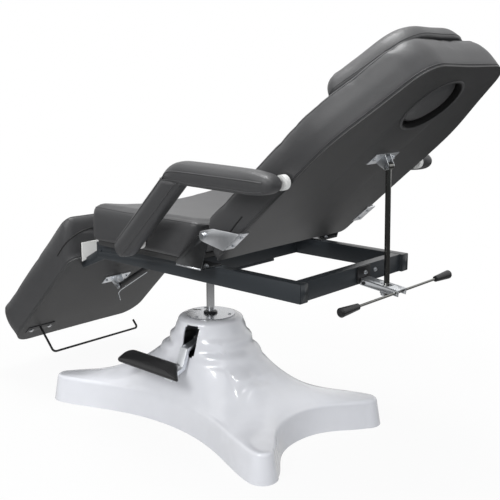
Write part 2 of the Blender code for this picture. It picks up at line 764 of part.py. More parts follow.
def build_frame(swivel):
    lift = swivel.parent
    column = bar(COLUMN_RADIUS, COLUMN_FOOT, COLUMN_TOP - COLUMN_FOOT, sides=32)
    place("piston_column", column, "chrome", lift)

    plate_low = FRAME_UNDERSIDE - FIT_GAP - MOUNT_PLATE_THICKNESS
    hub_top = plate_low - FIT_GAP
    flange_low = hub_top - HUB_FLANGE_THICKNESS
    bore = COLUMN_RADIUS + FIT_GAP
    socket = COLUMN_TOP + FIT_GAP
    hub = [(0.0, hub_top), (HUB_FLANGE_RADIUS, hub_top), (HUB_FLANGE_RADIUS, flange_low),
           (HUB_RADIUS, flange_low), (HUB_RADIUS, HUB_FOOT), (bore, HUB_FOOT), (bore, socket), (0.0, socket)]
    place_turned("swivel_hub", turned(hub), "frame_paint", swivel)
    half = MOUNT_PLATE_WIDTH / 2
    rear = MIDDLE_RAIL_X + TUBE_WIDTH / 2
    front = COLUMN_RAIL_X - TUBE_WIDTH / 2
    mount = box((front, -half, plate_low), (rear, half, plate_low + MOUNT_PLATE_THICKNESS))
    place("mount_plate", mount, "frame_paint", swivel)

    middle_z = FRAME_UNDERSIDE + TUBE_HEIGHT / 2
    section, hollow = tube_section(TUBE_WIDTH, TUBE_HEIGHT)
    for name, side in (("side_rail_near", -1), ("side_rail_far", 1)):
        mesh = plate(section, RAIL_REAR_X - RAIL_FRONT_X, [hollow], axis="X", start=RAIL_FRONT_X)
        rail = place(name, mesh, "frame_paint", swivel, (0, side * (HALF_FRAME - TUBE_WIDTH / 2), middle_z))
        inner = -side * TUBE_WIDTH
        hole = bar(HINGE_PIN_RADIUS + PIN_PLAY, -TUBE_WIDTH, 2 * TUBE_WIDTH, "Y",
                   centre=(LEG_PIVOT_X, inner / 2, 0))
        cut(rail, hole, swivel, rail.location)
    span = 2 * (INNER_HALF - FIT_GAP)
    rails = (("rear_rail", REAR_FACE_X - TUBE_WIDTH / 2), ("middle_rail", MIDDLE_RAIL_X),
             ("column_rail", COLUMN_RAIL_X), ("front_rail", FRONT_RAIL_X))
    for name, x in rails:
        rail = plate(section, span, [hollow], axis="Y", start=-span / 2)
        place(name, rail, "frame_paint", swivel, (x, 0, middle_z))


# Upholstered pads

def build_seat(swivel):
    corners = [(SEAT_FRONT_X, -PAD_HALF_WIDTH), (SEAT_REAR_X, -PAD_HALF_WIDTH),
               (SEAT_REAR_X, PAD_HALF_WIDTH), (SEAT_FRONT_X, PAD_HALF_WIDTH)]
    radii = (SEAT_CORNER, SEAT_REAR_CORNER, SEAT_REAR_CORNER, SEAT_CORNER)
    outline = filled_in(rounded(corners, radii), 0.075)
    from_front, from_side = SEAT_BOARD_INSET
    board = box((SEAT_FRONT_X + from_front, from_side - PAD_HALF_WIDTH, SEAT_BOARD_LOW),
                (HINGE_FOOT_X[0] - FIT_GAP, PAD_HALF_WIDTH - from_side, SEAT_BOARD_LOW + BOARD_THICKNESS))
    place("seat_board", board, "covered_board", swivel)

    def overhang(x, share):
        near_rear = min(1.0, max(0.0, 1 + (x - SEAT_REAR_X) / SEAT_SLANT_RUN))
        return SEAT_REAR_OVERHANG * share * near_rear

    pad = cushion(drawn_in(outline, corners), SEAT_PAD_LOW, SEAT_THICKNESS, SEAT_CROWN, overhang, SEAT_DISH)
    return place("seat_cushion", pad, "leather", swivel)


def back_corners():
    """Corners of the back's plan from its foot to its head, in the frame of its hinge."""
    foot = -BACK_PIVOT_INSET
    head = BACK_HEAD_X
    shoulder = head - BACK_TAPER
    return [(foot, -PAD_HALF_WIDTH), (shoulder, -PAD_HALF_WIDTH), (head, -BACK_HEAD_HALF_WIDTH),
            (head, BACK_HEAD_HALF_WIDTH), (shoulder, PAD_HALF_WIDTH), (foot, PAD_HALF_WIDTH)]


def build_back(swivel):
    axis = joint_axis("back_axis", (BACK_PIVOT_X, 0, BACK_PIVOT_Z), -BACK_RISE, swivel)
    corners = back_corners()
    radii = (BACK_FOOT_CORNER, BACK_SHOULDER_ROUND, BACK_HEAD_CORNER)
    outline = filled_in(rounded(corners, radii + radii[::-1]), 0.085)
    rear = -BACK_PIVOT_DEPTH
    hole_centre = (BACK_HEAD_X - FACE_HOLE_FROM_HEAD, 0)
    hole = (FACE_HOLE_HALF_LENGTH, FACE_HOLE_HALF_WIDTH)
    board = plate(inset(outline, BOARD_INSET), BOARD_THICKNESS, [ellipse(hole_centre, *hole)], start=rear)
    place("back_board", board, "covered_board", axis)

    def setback(x, share):
        near_foot = min(1.0, max(0.0, 1 + (corners[0][0] - x) / BACK_SLANT_RUN))
        near_head = min(1.0, max(0.0, 1 + (x - BACK_HEAD_X) / BACK_SLANT_RUN))
        return share * (BACK_LOWER_SETBACK * near_foot - BACK_HEAD_LEAN * near_head)

    front = rear + BOARD_THICKNESS + FIT_GAP
    pad = cushion(drawn_in(outline, corners), front, BACK_THICKNESS, BACK_CROWN, setback)
    cushion_piece = place("back_cushion", pad, "leather", axis)
    cut(cushion_piece, plate(ellipse(hole_centre, *hole), 0.4, start=-0.2), axis)
    plug_low = rear + FACE_PLUG_RECESS
    plug_outline = ellipse(hole_centre, hole[0] - FIT_GAP, hole[1] - FIT_GAP)
    plug_top = front + BACK_THICKNESS + BACK_CROWN * 0.4
    plug = plate(plug_outline, plug_top - plug_low, start=plug_low, smooth_angle=40)
    place("face_hole_plug", plug, "leather", axis)

    pillow_head = BACK_HEAD_X - PILLOW_FROM_HEAD
    pillow_foot = pillow_head - PILLOW_LENGTH
    pillow_corners = [(pillow_foot, -PILLOW_FOOT_HALF_WIDTH), (pillow_head, -PILLOW_HEAD_HALF_WIDTH),
                      (pillow_head, PILLOW_HEAD_HALF_WIDTH), (pillow_foot, PILLOW_FOOT_HALF_WIDTH)]
    pillow_radii = (PILLOW_FOOT_CORNER, PILLOW_HEAD_CORNER)
    pillow_outline = filled_in(rounded(pillow_corners, pillow_radii + pillow_radii[::-1]), 0.07)
    pillow_low = front + BACK_THICKNESS + BACK_CROWN * PILLOW_REST
    pillow = cushion(pillow_outline, pillow_low, PILLOW_THICKNESS, PILLOW_CROWN)
    place("head_pillow", pillow, "leather", axis)
    return axis


def build_leg_rest(swivel):
    axis = joint_axis("leg_axis", (LEG_PIVOT_X, 0, LEG_PIVOT_Z), -LEG_DROP, swivel)
    top = -LEG_PIVOT_TO_PAD
    end = top - LEG_LENGTH
    corners = [(end, -LEG_HALF_WIDTH), (top, -LEG_HALF_WIDTH), (top, LEG_HALF_WIDTH), (end, LEG_HALF_WIDTH)]
    radii = (LEG_END_CORNER, LEG_TOP_CORNER, LEG_TOP_CORNER, LEG_END_CORNER)
    outline = filled_in(rounded(corners, radii), 0.075)
    under = LEG_PIVOT_DEPTH
    board = plate(inset(outline, BOARD_INSET), BOARD_THICKNESS, start=under)
    place("leg_board", board, "covered_board", axis)

    def overhang(x, share):
        near_top = min(1.0, max(0.0, 1 + (x - top) / LEG_SLANT_RUN))
        return LEG_TOP_OVERHANG * share * near_top

    pad_low = under + BOARD_THICKNESS + FIT_GAP
    pad = cushion(drawn_in(outline, corners), pad_low, LEG_THICKNESS, LEG_CROWN, overhang)
    place("leg_cushion", pad, "leather", axis)

    for name, side in (("leg_hinge_arm_near", -1), ("leg_hinge_arm_far", 1)):
        outer = side * (INNER_HALF - 2 * FIT_GAP)
        start = min(outer, outer - side * HINGE_PLATE)
        tail = -LEG_PIVOT_TO_PAD - LEG_ARM_REACH
        rise = under - FIT_GAP
        eye = HINGE_EYE
        outline = [(tail, rise), (tail, rise - LEG_ARM_TAIL), (-2 * eye, -eye), (0.6 * eye, -eye),
                   (eye, -0.6 * eye), (eye, 0.6 * eye), (0.6 * eye, eye), (top - eye, rise)]
        arm = place(name, plate(outline, HINGE_PLATE, axis="Y", start=start), "zinc", axis)
        foot_low, foot_high = sorted((outer, side * (INNER_HALF - LEG_ARM_WIDTH)))
        unite(arm, box((tail, foot_low, rise - HINGE_PLATE), (top - eye, foot_high, rise)), axis)
        pin_low, pin_high = sorted((outer - side * HINGE_PLATE / 2, side * (HALF_FRAME + PIN_PROUD)))
        unite(arm, bar(HINGE_PIN_RADIUS, pin_low, pin_high - pin_low, "Y"), axis)

    build_roll_bar(axis, under)
    return axis


def build_roll_bar(axis, under):
    length, span, sheet = ROLL_PLATE
    x = -ROLL_BAR_PLACE
    near, far = ROLL_BAR_SPAN
    top = under - FIT_GAP
    face = box((x - length / 2, near - span / 2, top - sheet), (x + length / 2, near + span / 2, top))
    place("roll_bar_plate", face, "black_wire", axis)
    low = under - ROLL_BAR_DROP
    corners = [(x, near, top - sheet - FIT_GAP), (x, near, low), (x, far, low), (x, far, low + ROLL_BAR_LIP)]
    place("roll_bar", wire(bent_path(corners, ROLL_BAR_BEND), ROLL_BAR_RADIUS), "black_wire", axis)


# Back hinge

def build_back_hinge(swivel, back):
    foot_low = FRAME_TOP + FIT_GAP
    foot_top = foot_low + HINGE_PLATE
    pivot = (BACK_PIVOT_X, BACK_PIVOT_Z)
    hole = HINGE_PIN_RADIUS + PIN_PLAY
    for name, side in (("near", -1), ("far", 1)):
        inner = HINGE_INNER_Y
        eye = HINGE_EYE
        ear = [(HINGE_FOOT_X[0], foot_low), (HINGE_FOOT_X[1], foot_low),
               (pivot[0] + eye, pivot[1] - 0.3 * eye),
               (pivot[0] + 0.73 * eye, pivot[1] + 0.73 * eye), (pivot[0], pivot[1] + eye),
               (pivot[0] - 0.8 * eye, pivot[1] + 0.67 * eye), (HINGE_FOOT_X[0], foot_low + eye)]
        start = min(side * inner, side * (inner + HINGE_PLATE))
        ear_shape = plate(ear, HINGE_PLATE, axis="Y", start=start)
        fixed = place("hinge_bracket_" + name, ear_shape, "chrome", swivel)
        low_y, high_y = sorted((side * (INNER_HALF + HINGE_SIDE_GAP), side * (inner + HINGE_PLATE / 2)))
        foot = box((HINGE_FOOT_X[0], low_y, foot_low), (HINGE_FOOT_X[1], high_y, foot_top))
        unite(fixed, foot, swivel)
        cut(fixed, bar(hole, -0.5, 1.0, "Y", centre=(pivot[0], 0, pivot[1])), swivel)

        outer = inner + HINGE_PLATE + FIT_GAP
        rear = -BACK_PIVOT_DEPTH - FIT_GAP
        first, last = HINGE_FLANGE_SPAN
        wing = [(-0.73 * eye, 0.73 * eye), (-eye, 0), (-0.67 * eye, -0.73 * eye),
                (first, rear - HINGE_PLATE), (last, rear - HINGE_PLATE), (last, rear),
                (2.7 * eye, -0.3 * eye), (0.8 * eye, 0.67 * eye), (0, eye)]
        start = min(side * outer, side * (outer + HINGE_PLATE))
        wing_shape = plate(wing, HINGE_PLATE, axis="Y", start=start)
        moving = place("back_hinge_plate_" + name, wing_shape, "chrome", back)
        flange_low, flange_high = sorted((side * (outer + HINGE_PLATE / 2), side * (outer - HINGE_FLANGE)))
        unite(moving, box((first, flange_low, rear - HINGE_PLATE), (last, flange_high, rear)), back)
        cut(moving, bar(hole, -0.5, 1.0, "Y"), back)

        head_radius, head_height = HINGE_PIN_HEAD
        head_start = outer + HINGE_PLATE + PLATE_PLAY
        shank_ends = (side * (inner - HINGE_PLATE / 2), side * (head_start + head_height / 2))
        shank_low, shank_high = sorted(shank_ends)
        centre = (pivot[0], 0, pivot[1])
        shank = bar(HINGE_PIN_RADIUS, shank_low, shank_high - shank_low, "Y", centre=centre)
        pin = place("hinge_pin_" + name, shank, "zinc", swivel)
        head_low = min(side * head_start, side * (head_start + head_height))
        unite(pin, bar(head_radius, head_low, head_height, "Y", centre=centre, sides=6), swivel)


# Brackets with two ears, and the struts between them

def ear_outline(length, pin_drop):
    """An ear from inside the sheet at z = 0 down to its round end about the pin."""
    radius = BRACKET_PIN_RADIUS + EAR_RIM
    turns = (math.pi * (1 + k / 8) for k in range(9))
    end = [(radius * math.cos(turn), radius * math.sin(turn) - pin_drop) for turn in turns]
    return [(length / 2, -EAR_SHEET / 2), (-length / 2, -EAR_SHEET / 2)] + end


def place_bracket(name, size, pin_drop, axis, top):
    """A sheet below top with two ears that hang from it and carry a pin."""
    width, length = size
    sheet = box((-length / 2, -width / 2, -EAR_SHEET), (length / 2, width / 2, 0))
    piece = place(name, sheet, "zinc", axis, top)
    hole = circle((0, -pin_drop), BRACKET_PIN_RADIUS + PIN_PLAY, 16)
    outline = ear_outline(length * 0.9, pin_drop)
    for start in (EAR_GAP / 2, -EAR_GAP / 2 - EAR_SHEET):
        unite(piece, plate(outline, EAR_SHEET, [hole], axis="Y", start=start), axis, top)
    reach = EAR_GAP / 2 + EAR_SHEET + PIN_PROUD
    pin_place = (top[0], top[1], top[2] - pin_drop)
    place(name + "_pin", bar(BRACKET_PIN_RADIUS, -reach, 2 * reach, "Y"), "zinc", axis, pin_place)


def eye_on(piece, radius, axis, location=(0, 0, 0)):
    width = EAR_GAP - 2 * FIT_GAP
    unite(piece, bar(radius, -width / 2, width, "Y"), axis, location)


def build_strut(back):
    top_x, top_drop = STRUT_TOP
    sheet_top = (top_x, STRUT_Y, -BACK_PIVOT_DEPTH - FIT_GAP)
    place_bracket("strut_bracket", BACK_BRACKET, top_drop - FIT_GAP, back, sheet_top)

    rise = math.radians(BACK_RISE)
    drop = -BACK_PIVOT_DEPTH - top_drop
    head = Vector((BACK_PIVOT_X + top_x * math.cos(rise) - drop * math.sin(rise),
                   BACK_PIVOT_Z + top_x * math.sin(rise) + drop * math.cos(rise)))
    fall = math.radians(LOCK_DROP)
    lock = Vector(LOCK_PIVOT) + LOCK_ROD_REACH * Vector((math.cos(fall), -math.sin(fall)))
    run = head - lock
    lean = math.degrees(math.atan2(run.x, run.y))
    rod_axis = joint_axis("strut_axis", (top_x, STRUT_Y, drop), BACK_RISE + lean, back)
    length = run.length + STRUT_BELOW_LOCK
    rod = place("strut_rod", bar(STRUT_RADIUS, -length, length), "chrome", rod_axis)
    eye_on(rod, STRUT_EYE, rod_axis)
    cut(rod, bar(BRACKET_PIN_RADIUS + PIN_PLAY, -0.03, 0.06, "Y"), rod_axis)


def build_lock(swivel):
    pivot_x, pivot_z = LOCK_PIVOT
    inner = LOCK_WIDTH / 2 - LOCK_SHEET - FIT_GAP
    pin_z = pivot_z - LOCK_PIN_DROP
    hold = BRACKET_PIN_RADIUS + 0.5 * EAR_RIM - 5 * FIT_GAP
    block = box((REAR_FACE_X + FIT_GAP, STRUT_Y - inner, pin_z - hold),
                (pivot_x + 2 * BRACKET_PIN_RADIUS, STRUT_Y + inner, pin_z + hold))
    base = place("lock_block", block, "black_plastic", swivel)
    half = LOCK_BLOCK_WIDTH / 2
    backing = box((REAR_FACE_X + FIT_GAP, STRUT_Y - half, FRAME_TOP - LOCK_BLOCK_HEIGHT),
                  (REAR_FACE_X + LOCK_BLOCK_BACKING, STRUT_Y + half, FRAME_TOP - PLATE_PLAY))
    unite(base, backing, swivel)
    reach = LOCK_WIDTH / 2 + PIN_PROUD
    unite(base, bar(BRACKET_PIN_RADIUS, STRUT_Y - reach, 2 * reach, "Y", centre=(pivot_x, 0, pin_z)), swivel)

    axis = joint_axis("lock_axis", (pivot_x, STRUT_Y, pin_z), LOCK_DROP, swivel)
    w = LOCK_WIDTH / 2
    web_top = LOCK_PIN_DROP
    web_low = web_top - LOCK_SHEET
    low = web_top - LOCK_FLANGE
    section = [(-w, web_top), (-w, low), (-w + LOCK_SHEET, low), (-w + LOCK_SHEET, web_low),
               (w - LOCK_SHEET, web_low), (w - LOCK_SHEET, low), (w, low), (w, web_top)]
    start = -LOCK_PIN_DROP
    lever = place("lock_lever", plate(section, LOCK_REACH - start, axis="X", start=start), "zinc", axis)
    cut(lever, bar(BRACKET_PIN_RADIUS + PIN_PLAY, -0.05, 0.10, "Y"), axis)
    slot = STRUT_RADIUS + LOCK_SLOT_PLAY
    slot_side = STRUT_RADIUS + 2 * PLATE_PLAY
    rod_slot = box((LOCK_ROD_REACH - slot, -slot_side, -0.05), (LOCK_ROD_REACH + slot, slot_side, 0.05))
    cut(lever, rod_slot, axis)
    bar_x = LOCK_REACH - LOCK_BAR_INSET
    cut(lever, bar(RELEASE_BAR_RADIUS + FIT_GAP, -0.05, 0.10, "Y", centre=(bar_x, 0, 0)), axis)
    release = bar(RELEASE_BAR_RADIUS, -RELEASE_BAR_HALF, 2 * RELEASE_BAR_HALF, "Y", sides=16)
    place("release_bar", release, "chrome", axis, (bar_x, 0, 0))
    thin, thick = GRIP_RADII
    bore = RELEASE_BAR_RADIUS + FIT_GAP
    inner_end = RELEASE_BAR_HALF - GRIP_OVERLAP
    for name, side in (("grip_near", 1), ("grip_far", -1)):
        hole_end = GRIP_OVERLAP + FIT_GAP
        profile = [(0.0, GRIP_LENGTH), (thick - 0.004, GRIP_LENGTH), (thick, GRIP_LENGTH - 0.005),
                   (thin, 0.002), (thin - 0.002, 0.0), (bore, 0.0), (bore, hole_end), (0.0, hole_end)]
        grip = place_turned(name, turned(profile, 20), "black_plastic", axis, (bar_x, -side * inner_end, 0))
        grip.rotation_euler = (math.radians(90 * side), 0, 0)


def build_leg_strut(swivel, leg):
    reach, drop = LEG_STRUT_FOOT
    foot_local = (-reach, LEG_STRUT_Y, LEG_PIVOT_DEPTH - drop)
    bracket_top = (-reach, LEG_STRUT_Y, LEG_PIVOT_DEPTH - FIT_GAP)
    place_bracket("leg_strut_bracket", LEG_BRACKET, drop - FIT_GAP, leg, bracket_top)
    head = Vector(LEG_STRUT_HEAD)
    anchor_drop = FRAME_UNDERSIDE - FIT_GAP - head.y
    place_bracket("leg_strut_anchor", ANCHOR_BRACKET, anchor_drop, swivel,
                  (head.x, LEG_STRUT_Y, FRAME_UNDERSIDE - FIT_GAP))

    fall = math.radians(LEG_DROP)
    foot = Vector((LEG_PIVOT_X + foot_local[0] * math.cos(fall) - foot_local[2] * math.sin(fall),
                   LEG_PIVOT_Z + foot_local[0] * math.sin(fall) + foot_local[2] * math.cos(fall)))
    run = head - foot
    climb = math.degrees(math.atan2(run.y, run.x))
    axis = joint_axis("leg_strut_axis", foot_local, LEG_DROP - climb, leg)
    sleeve_shape = bar(LEG_SLEEVE_RADIUS, 0, LEG_SLEEVE_LENGTH, "X")
    sleeve = place("leg_strut_sleeve", sleeve_shape, "black_plastic", axis)
    eye_on(sleeve, LEG_EYE, axis)
    cut(sleeve, bar(BRACKET_PIN_RADIUS + PIN_PLAY, -0.03, 0.06, "Y"), axis)
    bore_start = LEG_ROD_START - 0.030
    cut(sleeve, bar(LEG_SLEEVE_BORE, bore_start, LEG_SLEEVE_LENGTH, "X"), axis)
    length = run.length - LEG_ROD_START
    rod = place("leg_strut_rod", bar(LEG_ROD_RADIUS, LEG_ROD_START, length, "X"), "zinc", axis)
    eye_on(rod, HEAD_EYE, axis, (run.length, 0, 0))
    cut(rod, bar(BRACKET_PIN_RADIUS + HEAD_EYE_PLAY, -0.03, 0.06, "Y"), axis, (run.length, 0, 0))

    below = -LEG_SLEEVE_RADIUS - TRIGGER_RADIUS - FIT_GAP
    hinge_x = TRIGGER_REACH
    trigger_axis = joint_axis("trigger_axis", (hinge_x, 0, below), 0, axis)
    hook = [(0, 0, 0)] + [(-hinge_x - past, 0, -drop) for past, drop in TRIGGER_HOOK]
    place("release_trigger", wire(bent_path(hook, 0.004, 3), TRIGGER_RADIUS), "zinc", trigger_axis)


# Armrests

def arm_rings(inner, outer):
    """Sections of the padded arm along its path from the foot of the post to the rear end."""
    foot, elbow, rear = Vector(ARM_SEAT_PIVOT), Vector(ARM_ELBOW), Vector(ARM_BACK_PIVOT)
    down = (foot - elbow).normalized()
    aft = (rear - elbow).normalized()
    ends = [foot + down * ARM_FOOT_REACH, elbow, rear + aft * ARM_END_REACH]
    path = bent_path([(p.x, 0, p.y) for p in ends], ARM_ELBOW_RADIUS, 6)
    post = [path[0].lerp(path[1], share) for share in (0, 0.06, 0.16, 0.55)]
    end = [path[-2].lerp(path[-1], share) for share in (0.5, 0.84, 0.95, 1)]
    path = post + path[1:-1] + end
    swell = [0.62, 0.90, 1.0] + [1.0] * (len(path) - 6) + [1.0, 0.88, 0.60]
    half_y = (outer - inner) / 2
    centre_y = (outer + inner) / 2
    half = ARM_THICKNESS / 2
    section = ((-1.0, -0.62), (-0.86, -1.0), (0.86, -1.0), (1.0, -0.62), (1.0, 0.42), (0.78, 0.84),
               (0.30, 1.0), (-0.30, 1.0), (-0.78, 0.84), (-1.0, 0.42))
    rings = []
    for i, spot in enumerate(path):
        ahead = (path[min(i + 1, len(path) - 1)] - path[max(i - 1, 0)]).normalized()
        above = Vector((-ahead.z, 0, ahead.x))
        wide, tall = half_y * swell[i] ** 0.4, half * swell[i]
        rings.append([spot + above * (v * tall) + Vector((0, centre_y + u * wide, 0)) for u, v in section])
    return rings


def build_arms(swivel, seat):
    pivot = Vector((ARM_SEAT_PIVOT[0], 0, ARM_SEAT_PIVOT[1]))
    rear = Vector((ARM_BACK_PIVOT[0], 0, ARM_BACK_PIVOT[1])) - pivot
    for name, side in (("near", -1), ("far", 1)):
        axis = joint_axis("arm_axis_" + name, pivot, 0, swivel)
        rings = arm_rings(ARM_INNER_Y, ARM_INNER_Y + ARM_WIDTH)
        rings = [[point - pivot for point in ring] for ring in rings]
        if side > 0:
            rings = [ring[::-1] for ring in rings]
        rings = [[Vector((p.x, side * p.y, p.z)) for p in ring] for ring in rings]
        ends = [sum(ring, Vector()) / len(ring) for ring in (rings[0], rings[-1])]
        arm = place("armrest_" + name, loft(rings, ends[0], ends[1], smooth_angle=50), "leather", axis)
        recess = ARM_INNER_Y + ARM_BOLT_RECESS
        first, last = sorted((0.0, side * recess))
        cut(arm, bar(ARM_BOLT_RADIUS + PIN_PLAY, first, last - first, "Y"), axis)

        by_seat = PAD_HALF_WIDTH - SIDE_DRAW + 4 * FIT_GAP
        by_back = PAD_HALF_WIDTH - BOARD_INSET + 2 * FIT_GAP
        for end, spot, owner, inner in (("seat", pivot, swivel, by_seat), ("back", rear, axis, by_back)):
            low, high = sorted((side * inner, side * (ARM_INNER_Y - FIT_GAP)))
            bore = circle((0, 0), SPACER_BORE, 16)
            ring = plate(circle((0, 0), SPACER_RADIUS), high - low, [bore], axis="Y", start=low)
            place("arm_spacer_" + end + "_" + name, ring, "nylon", owner, spot)
        bolt_start = by_seat - ARM_BOLT_DEPTH
        bolt_end = recess - FIT_GAP
        first, last = sorted((side * (bolt_start - FIT_GAP), side * ARM_INNER_Y))
        cut(seat, bar(ARM_BOLT_RADIUS + PIN_PLAY, first, last - first, "Y"), swivel, pivot)
        first, last = sorted((side * bolt_start, side * bolt_end))
        place("arm_bolt_" + name, bar(ARM_BOLT_RADIUS, first, last - first, "Y"), "zinc", swivel, pivot)


LIFT = joint_axis("lift_axis", (0, 0, 0))
SWIVEL = joint_axis("swivel_axis", (0, 0, 0), 0, LIFT)
build_base()
build_pedal()
build_frame(SWIVEL)
SEAT = build_seat(SWIVEL)
BACK = build_back(SWIVEL)
LEG = build_leg_rest(SWIVEL)
build_back_hinge(SWIVEL, BACK)
build_strut(BACK)
build_lock(SWIVEL)
build_leg_strut(SWIVEL, LEG)
build_arms(SWIVEL, SEAT)
bpy.context.view_layer.update()
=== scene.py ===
"""Looks of the hydraulic massage couch: upholstery, moulded base, plated and painted steel.

Metres, +Z up, +X to the head end; the camera stands behind the couch on its near side, -Y.
"""
import json
import math

import bmesh
import bpy
import numpy as np
from mathutils import Matrix, Vector, geometry, noise
from mathutils.bvhtree import BVHTree


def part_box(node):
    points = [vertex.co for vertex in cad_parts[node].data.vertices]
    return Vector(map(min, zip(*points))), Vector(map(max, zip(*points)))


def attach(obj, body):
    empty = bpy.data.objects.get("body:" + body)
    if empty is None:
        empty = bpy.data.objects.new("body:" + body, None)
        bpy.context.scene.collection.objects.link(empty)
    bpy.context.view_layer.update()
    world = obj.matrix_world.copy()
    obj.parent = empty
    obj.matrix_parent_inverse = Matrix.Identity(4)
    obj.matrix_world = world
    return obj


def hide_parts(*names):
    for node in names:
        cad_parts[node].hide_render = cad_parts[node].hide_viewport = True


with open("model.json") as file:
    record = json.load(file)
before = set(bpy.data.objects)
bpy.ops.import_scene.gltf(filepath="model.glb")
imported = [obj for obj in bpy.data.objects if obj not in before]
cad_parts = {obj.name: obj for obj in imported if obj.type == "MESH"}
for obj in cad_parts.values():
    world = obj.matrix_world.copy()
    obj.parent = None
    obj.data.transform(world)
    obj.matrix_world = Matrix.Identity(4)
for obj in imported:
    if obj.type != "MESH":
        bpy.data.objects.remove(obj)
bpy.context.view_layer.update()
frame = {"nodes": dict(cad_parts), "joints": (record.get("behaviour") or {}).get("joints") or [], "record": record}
NODES = frame["nodes"]
JOINTS = {joint["name"]: joint for joint in frame["joints"]}
SIDES = (("near", -1), ("far", 1))

# Upholstery sizes, as in the part's source
FIT_GAP = 0.0003
BOARD = 0.015
PAD_HALF_WIDTH = 0.297
SEAT_X = (-0.222, 0.183)
SEAT_LOW = 0.5786
SEAT_THICKNESS = 0.115
SEAT_CROWN = 0.004
SEAT_DISH = 0.030
SEAT_OVERHANG = 0.070
SEAT_RADII = (0.026, 0.030, 0.030, 0.026)
SEAT_SLANT_RUN = 0.160
BACK_RISE = 41.8
BACK_FOOT_X = -0.039
BACK_HEAD_X = 0.733
BACK_TAPER = 0.282
BACK_HEAD_HALF = 0.190
BACK_RADII = (0.030, 0.450, 0.100, 0.100, 0.450, 0.030)
BACK_REAR = -0.065
BACK_THICKNESS = 0.085
BACK_CROWN = 0.008
BACK_SETBACK = 0.050
BACK_LEAN = 0.014
SLANT_RUN = 0.200
HOLE_X = 0.584
HOLE_HALF = (0.083, 0.086)
PLUG_RECESS = 0.0055
PILLOW_X = (0.482, 0.713)
PILLOW_HALF = (0.262, 0.134)
PILLOW_RADII = (0.035, 0.130, 0.130, 0.035)
PILLOW_THICKNESS = 0.034
PILLOW_DOME = 0.024
PILLOW_WEDGE = 0.82
PILLOW_WEDGE_RUN = 0.190
PILLOW_REST = 0.84
PILLOW_SINK = 0.003
LEG_DROP = 44.0
LEG_X = (-0.6373, -0.1023)
LEG_HALF_WIDTH = 0.292
LEG_RADII = (0.085, 0.042, 0.042, 0.085)
LEG_UNDER = 0.0486
LEG_THICKNESS = 0.104
LEG_CROWN = 0.010
LEG_OVERHANG = 0.094
ARM_FOOT = (0.017, 0.605)
ARM_ELBOW = (0.238, 0.826)
ARM_REAR = (0.543, 0.822)
ARM_FOOT_REACH = 0.034
ARM_END_REACH = 0.021
ARM_BEND = 0.058
ARM_INNER_Y = 0.3116
ARM_WIDTH = 0.066
ARM_HEIGHT = 0.060
ARM_STEP = 0.006
ARM_BEND_STEPS = 18
ARM_SIDE_POWER = 0.60
ARM_TOP_POWER = 0.80
ARM_UNDER_POWER = 0.52
ARM_DOME = 0.030
ARM_DOME_POWER = 2.4
ARM_LEAST_SWELL = 0.35
ARM_TAPER = 0.090
ARM_TAPER_DEPTH = 0.34
ARM_CREASE = ((0.172, 0.822), (0.185, 0.815), (0.200, 0.809), (0.225, 0.805), (0.258, 0.801))
FOLD_SHARE = 0.14
FOLD_WIDTH = 0.0055
PIPE_RADIUS = 0.0020
PIPE_SKIP = 4
PIPE_HIGH = 0.70
PIPE_DIP = 0.50
PIPE_LOW = 0.86
LEVEL_FROM = 0.75
LEVEL_RUN = 0.24
STITCH_DROP = 0.005

# Pedal shoe, from the pedal's pivot, and its (inset, height) levels
SHOE_FRONT = (-0.156, -0.076)
SHOE_BACK = (-0.098, -0.054)
SHOE_FRONT_X = (-0.204, 0.080)
SHOE_BACK_X = (-0.206, 0.012)
SHOE_RADII = (0.012, 0.004, 0.006, 0.030)
SHOE_LEVELS = ((0.0022, -0.0070), (0.0006, -0.0064), (0.0, -0.0050), (0.0, -0.0005), (0.0008, 0.0014),
               (0.0026, 0.0030), (0.0055, 0.0042))
SHOE_CROWN = 0.0050
SHOE_FULLNESS = 2.4
STUD_X = (-0.150, -0.098)
STUD_RUN = 0.012

# Moulded base
BASE_TIP = (0.484, 0.267)
TIP_ROUND = 0.042
WAIST_Y = 0.180
NOTCH_X = 0.360
RIM_HEIGHT = 0.088
RIM_DRAFT = 0.012
RIM_ROUND = 0.016
RIM_LIP = 0.014
BASE_TOP = 0.325
NECK_HEIGHT = 0.270
NECK_RADIUS = 0.122
TOP_RADIUS = 0.098
TOP_ROUND = 0.018
MOUTH_RADIUS = 0.055
BASE_SKIN = 0.004
SLOT_X = (-0.006, 0.046)
SLOT_Y = (-0.183, -0.061)
SLOT_Z = (0.218, 0.312)
SLOT_CORNER = 0.006
FOOT_LEVELS = ((0.0, 0.001), (0.0006, 0.004))
RIM_SHARES = (0.35, 0.7, 0.95)
RIM_STEPS = 7
RIM_RINGS = 12
FLANK_STEPS = 40
FLANK_POWER = 1.15
TOP_STEPS = 6
TOP_SPREAD = 1.33
TOP_FLATTEN = 0.9
BELL_HALF = (0.51, 0.33)
BELL_CELL = 0.006
BELL_PASSES = 5000
BELL_POWER = 0.76
BLEND_PASSES = 50
WAIST_RUN = 0.30
RIM_WEIGHT = 0.35
NECK_WEIGHTS = (0.6, 0.3, 0.1)

# Relief of the base: tiers below the neck, dents, and a swirl on the far flank
TIER_Z = (0.195, 0.292)
TIER_PITCH = 0.041
TIER_START = 0.252
TIER_DEPTH = 0.0052
TIER_LOBES = 0.20
PEDAL_CLEAR = (4.5, 0.9)
FLANK_Z = (0.095, 0.29)
FLANK_EASE = 0.03
DENT_DEPTH = 0.0012
DENT_SCALE = 13.0
SWIRL_AT = (0.225, -0.030, 0.150)
SWIRL_REACH = 0.105
SWIRL_DEPTH = 0.0095
SWIRL_SCALE = 20.0
SWIRL_WARP = 0.05
# Without a fixed seed the vector noise starts from the clock
RELIEF_SEED = 1

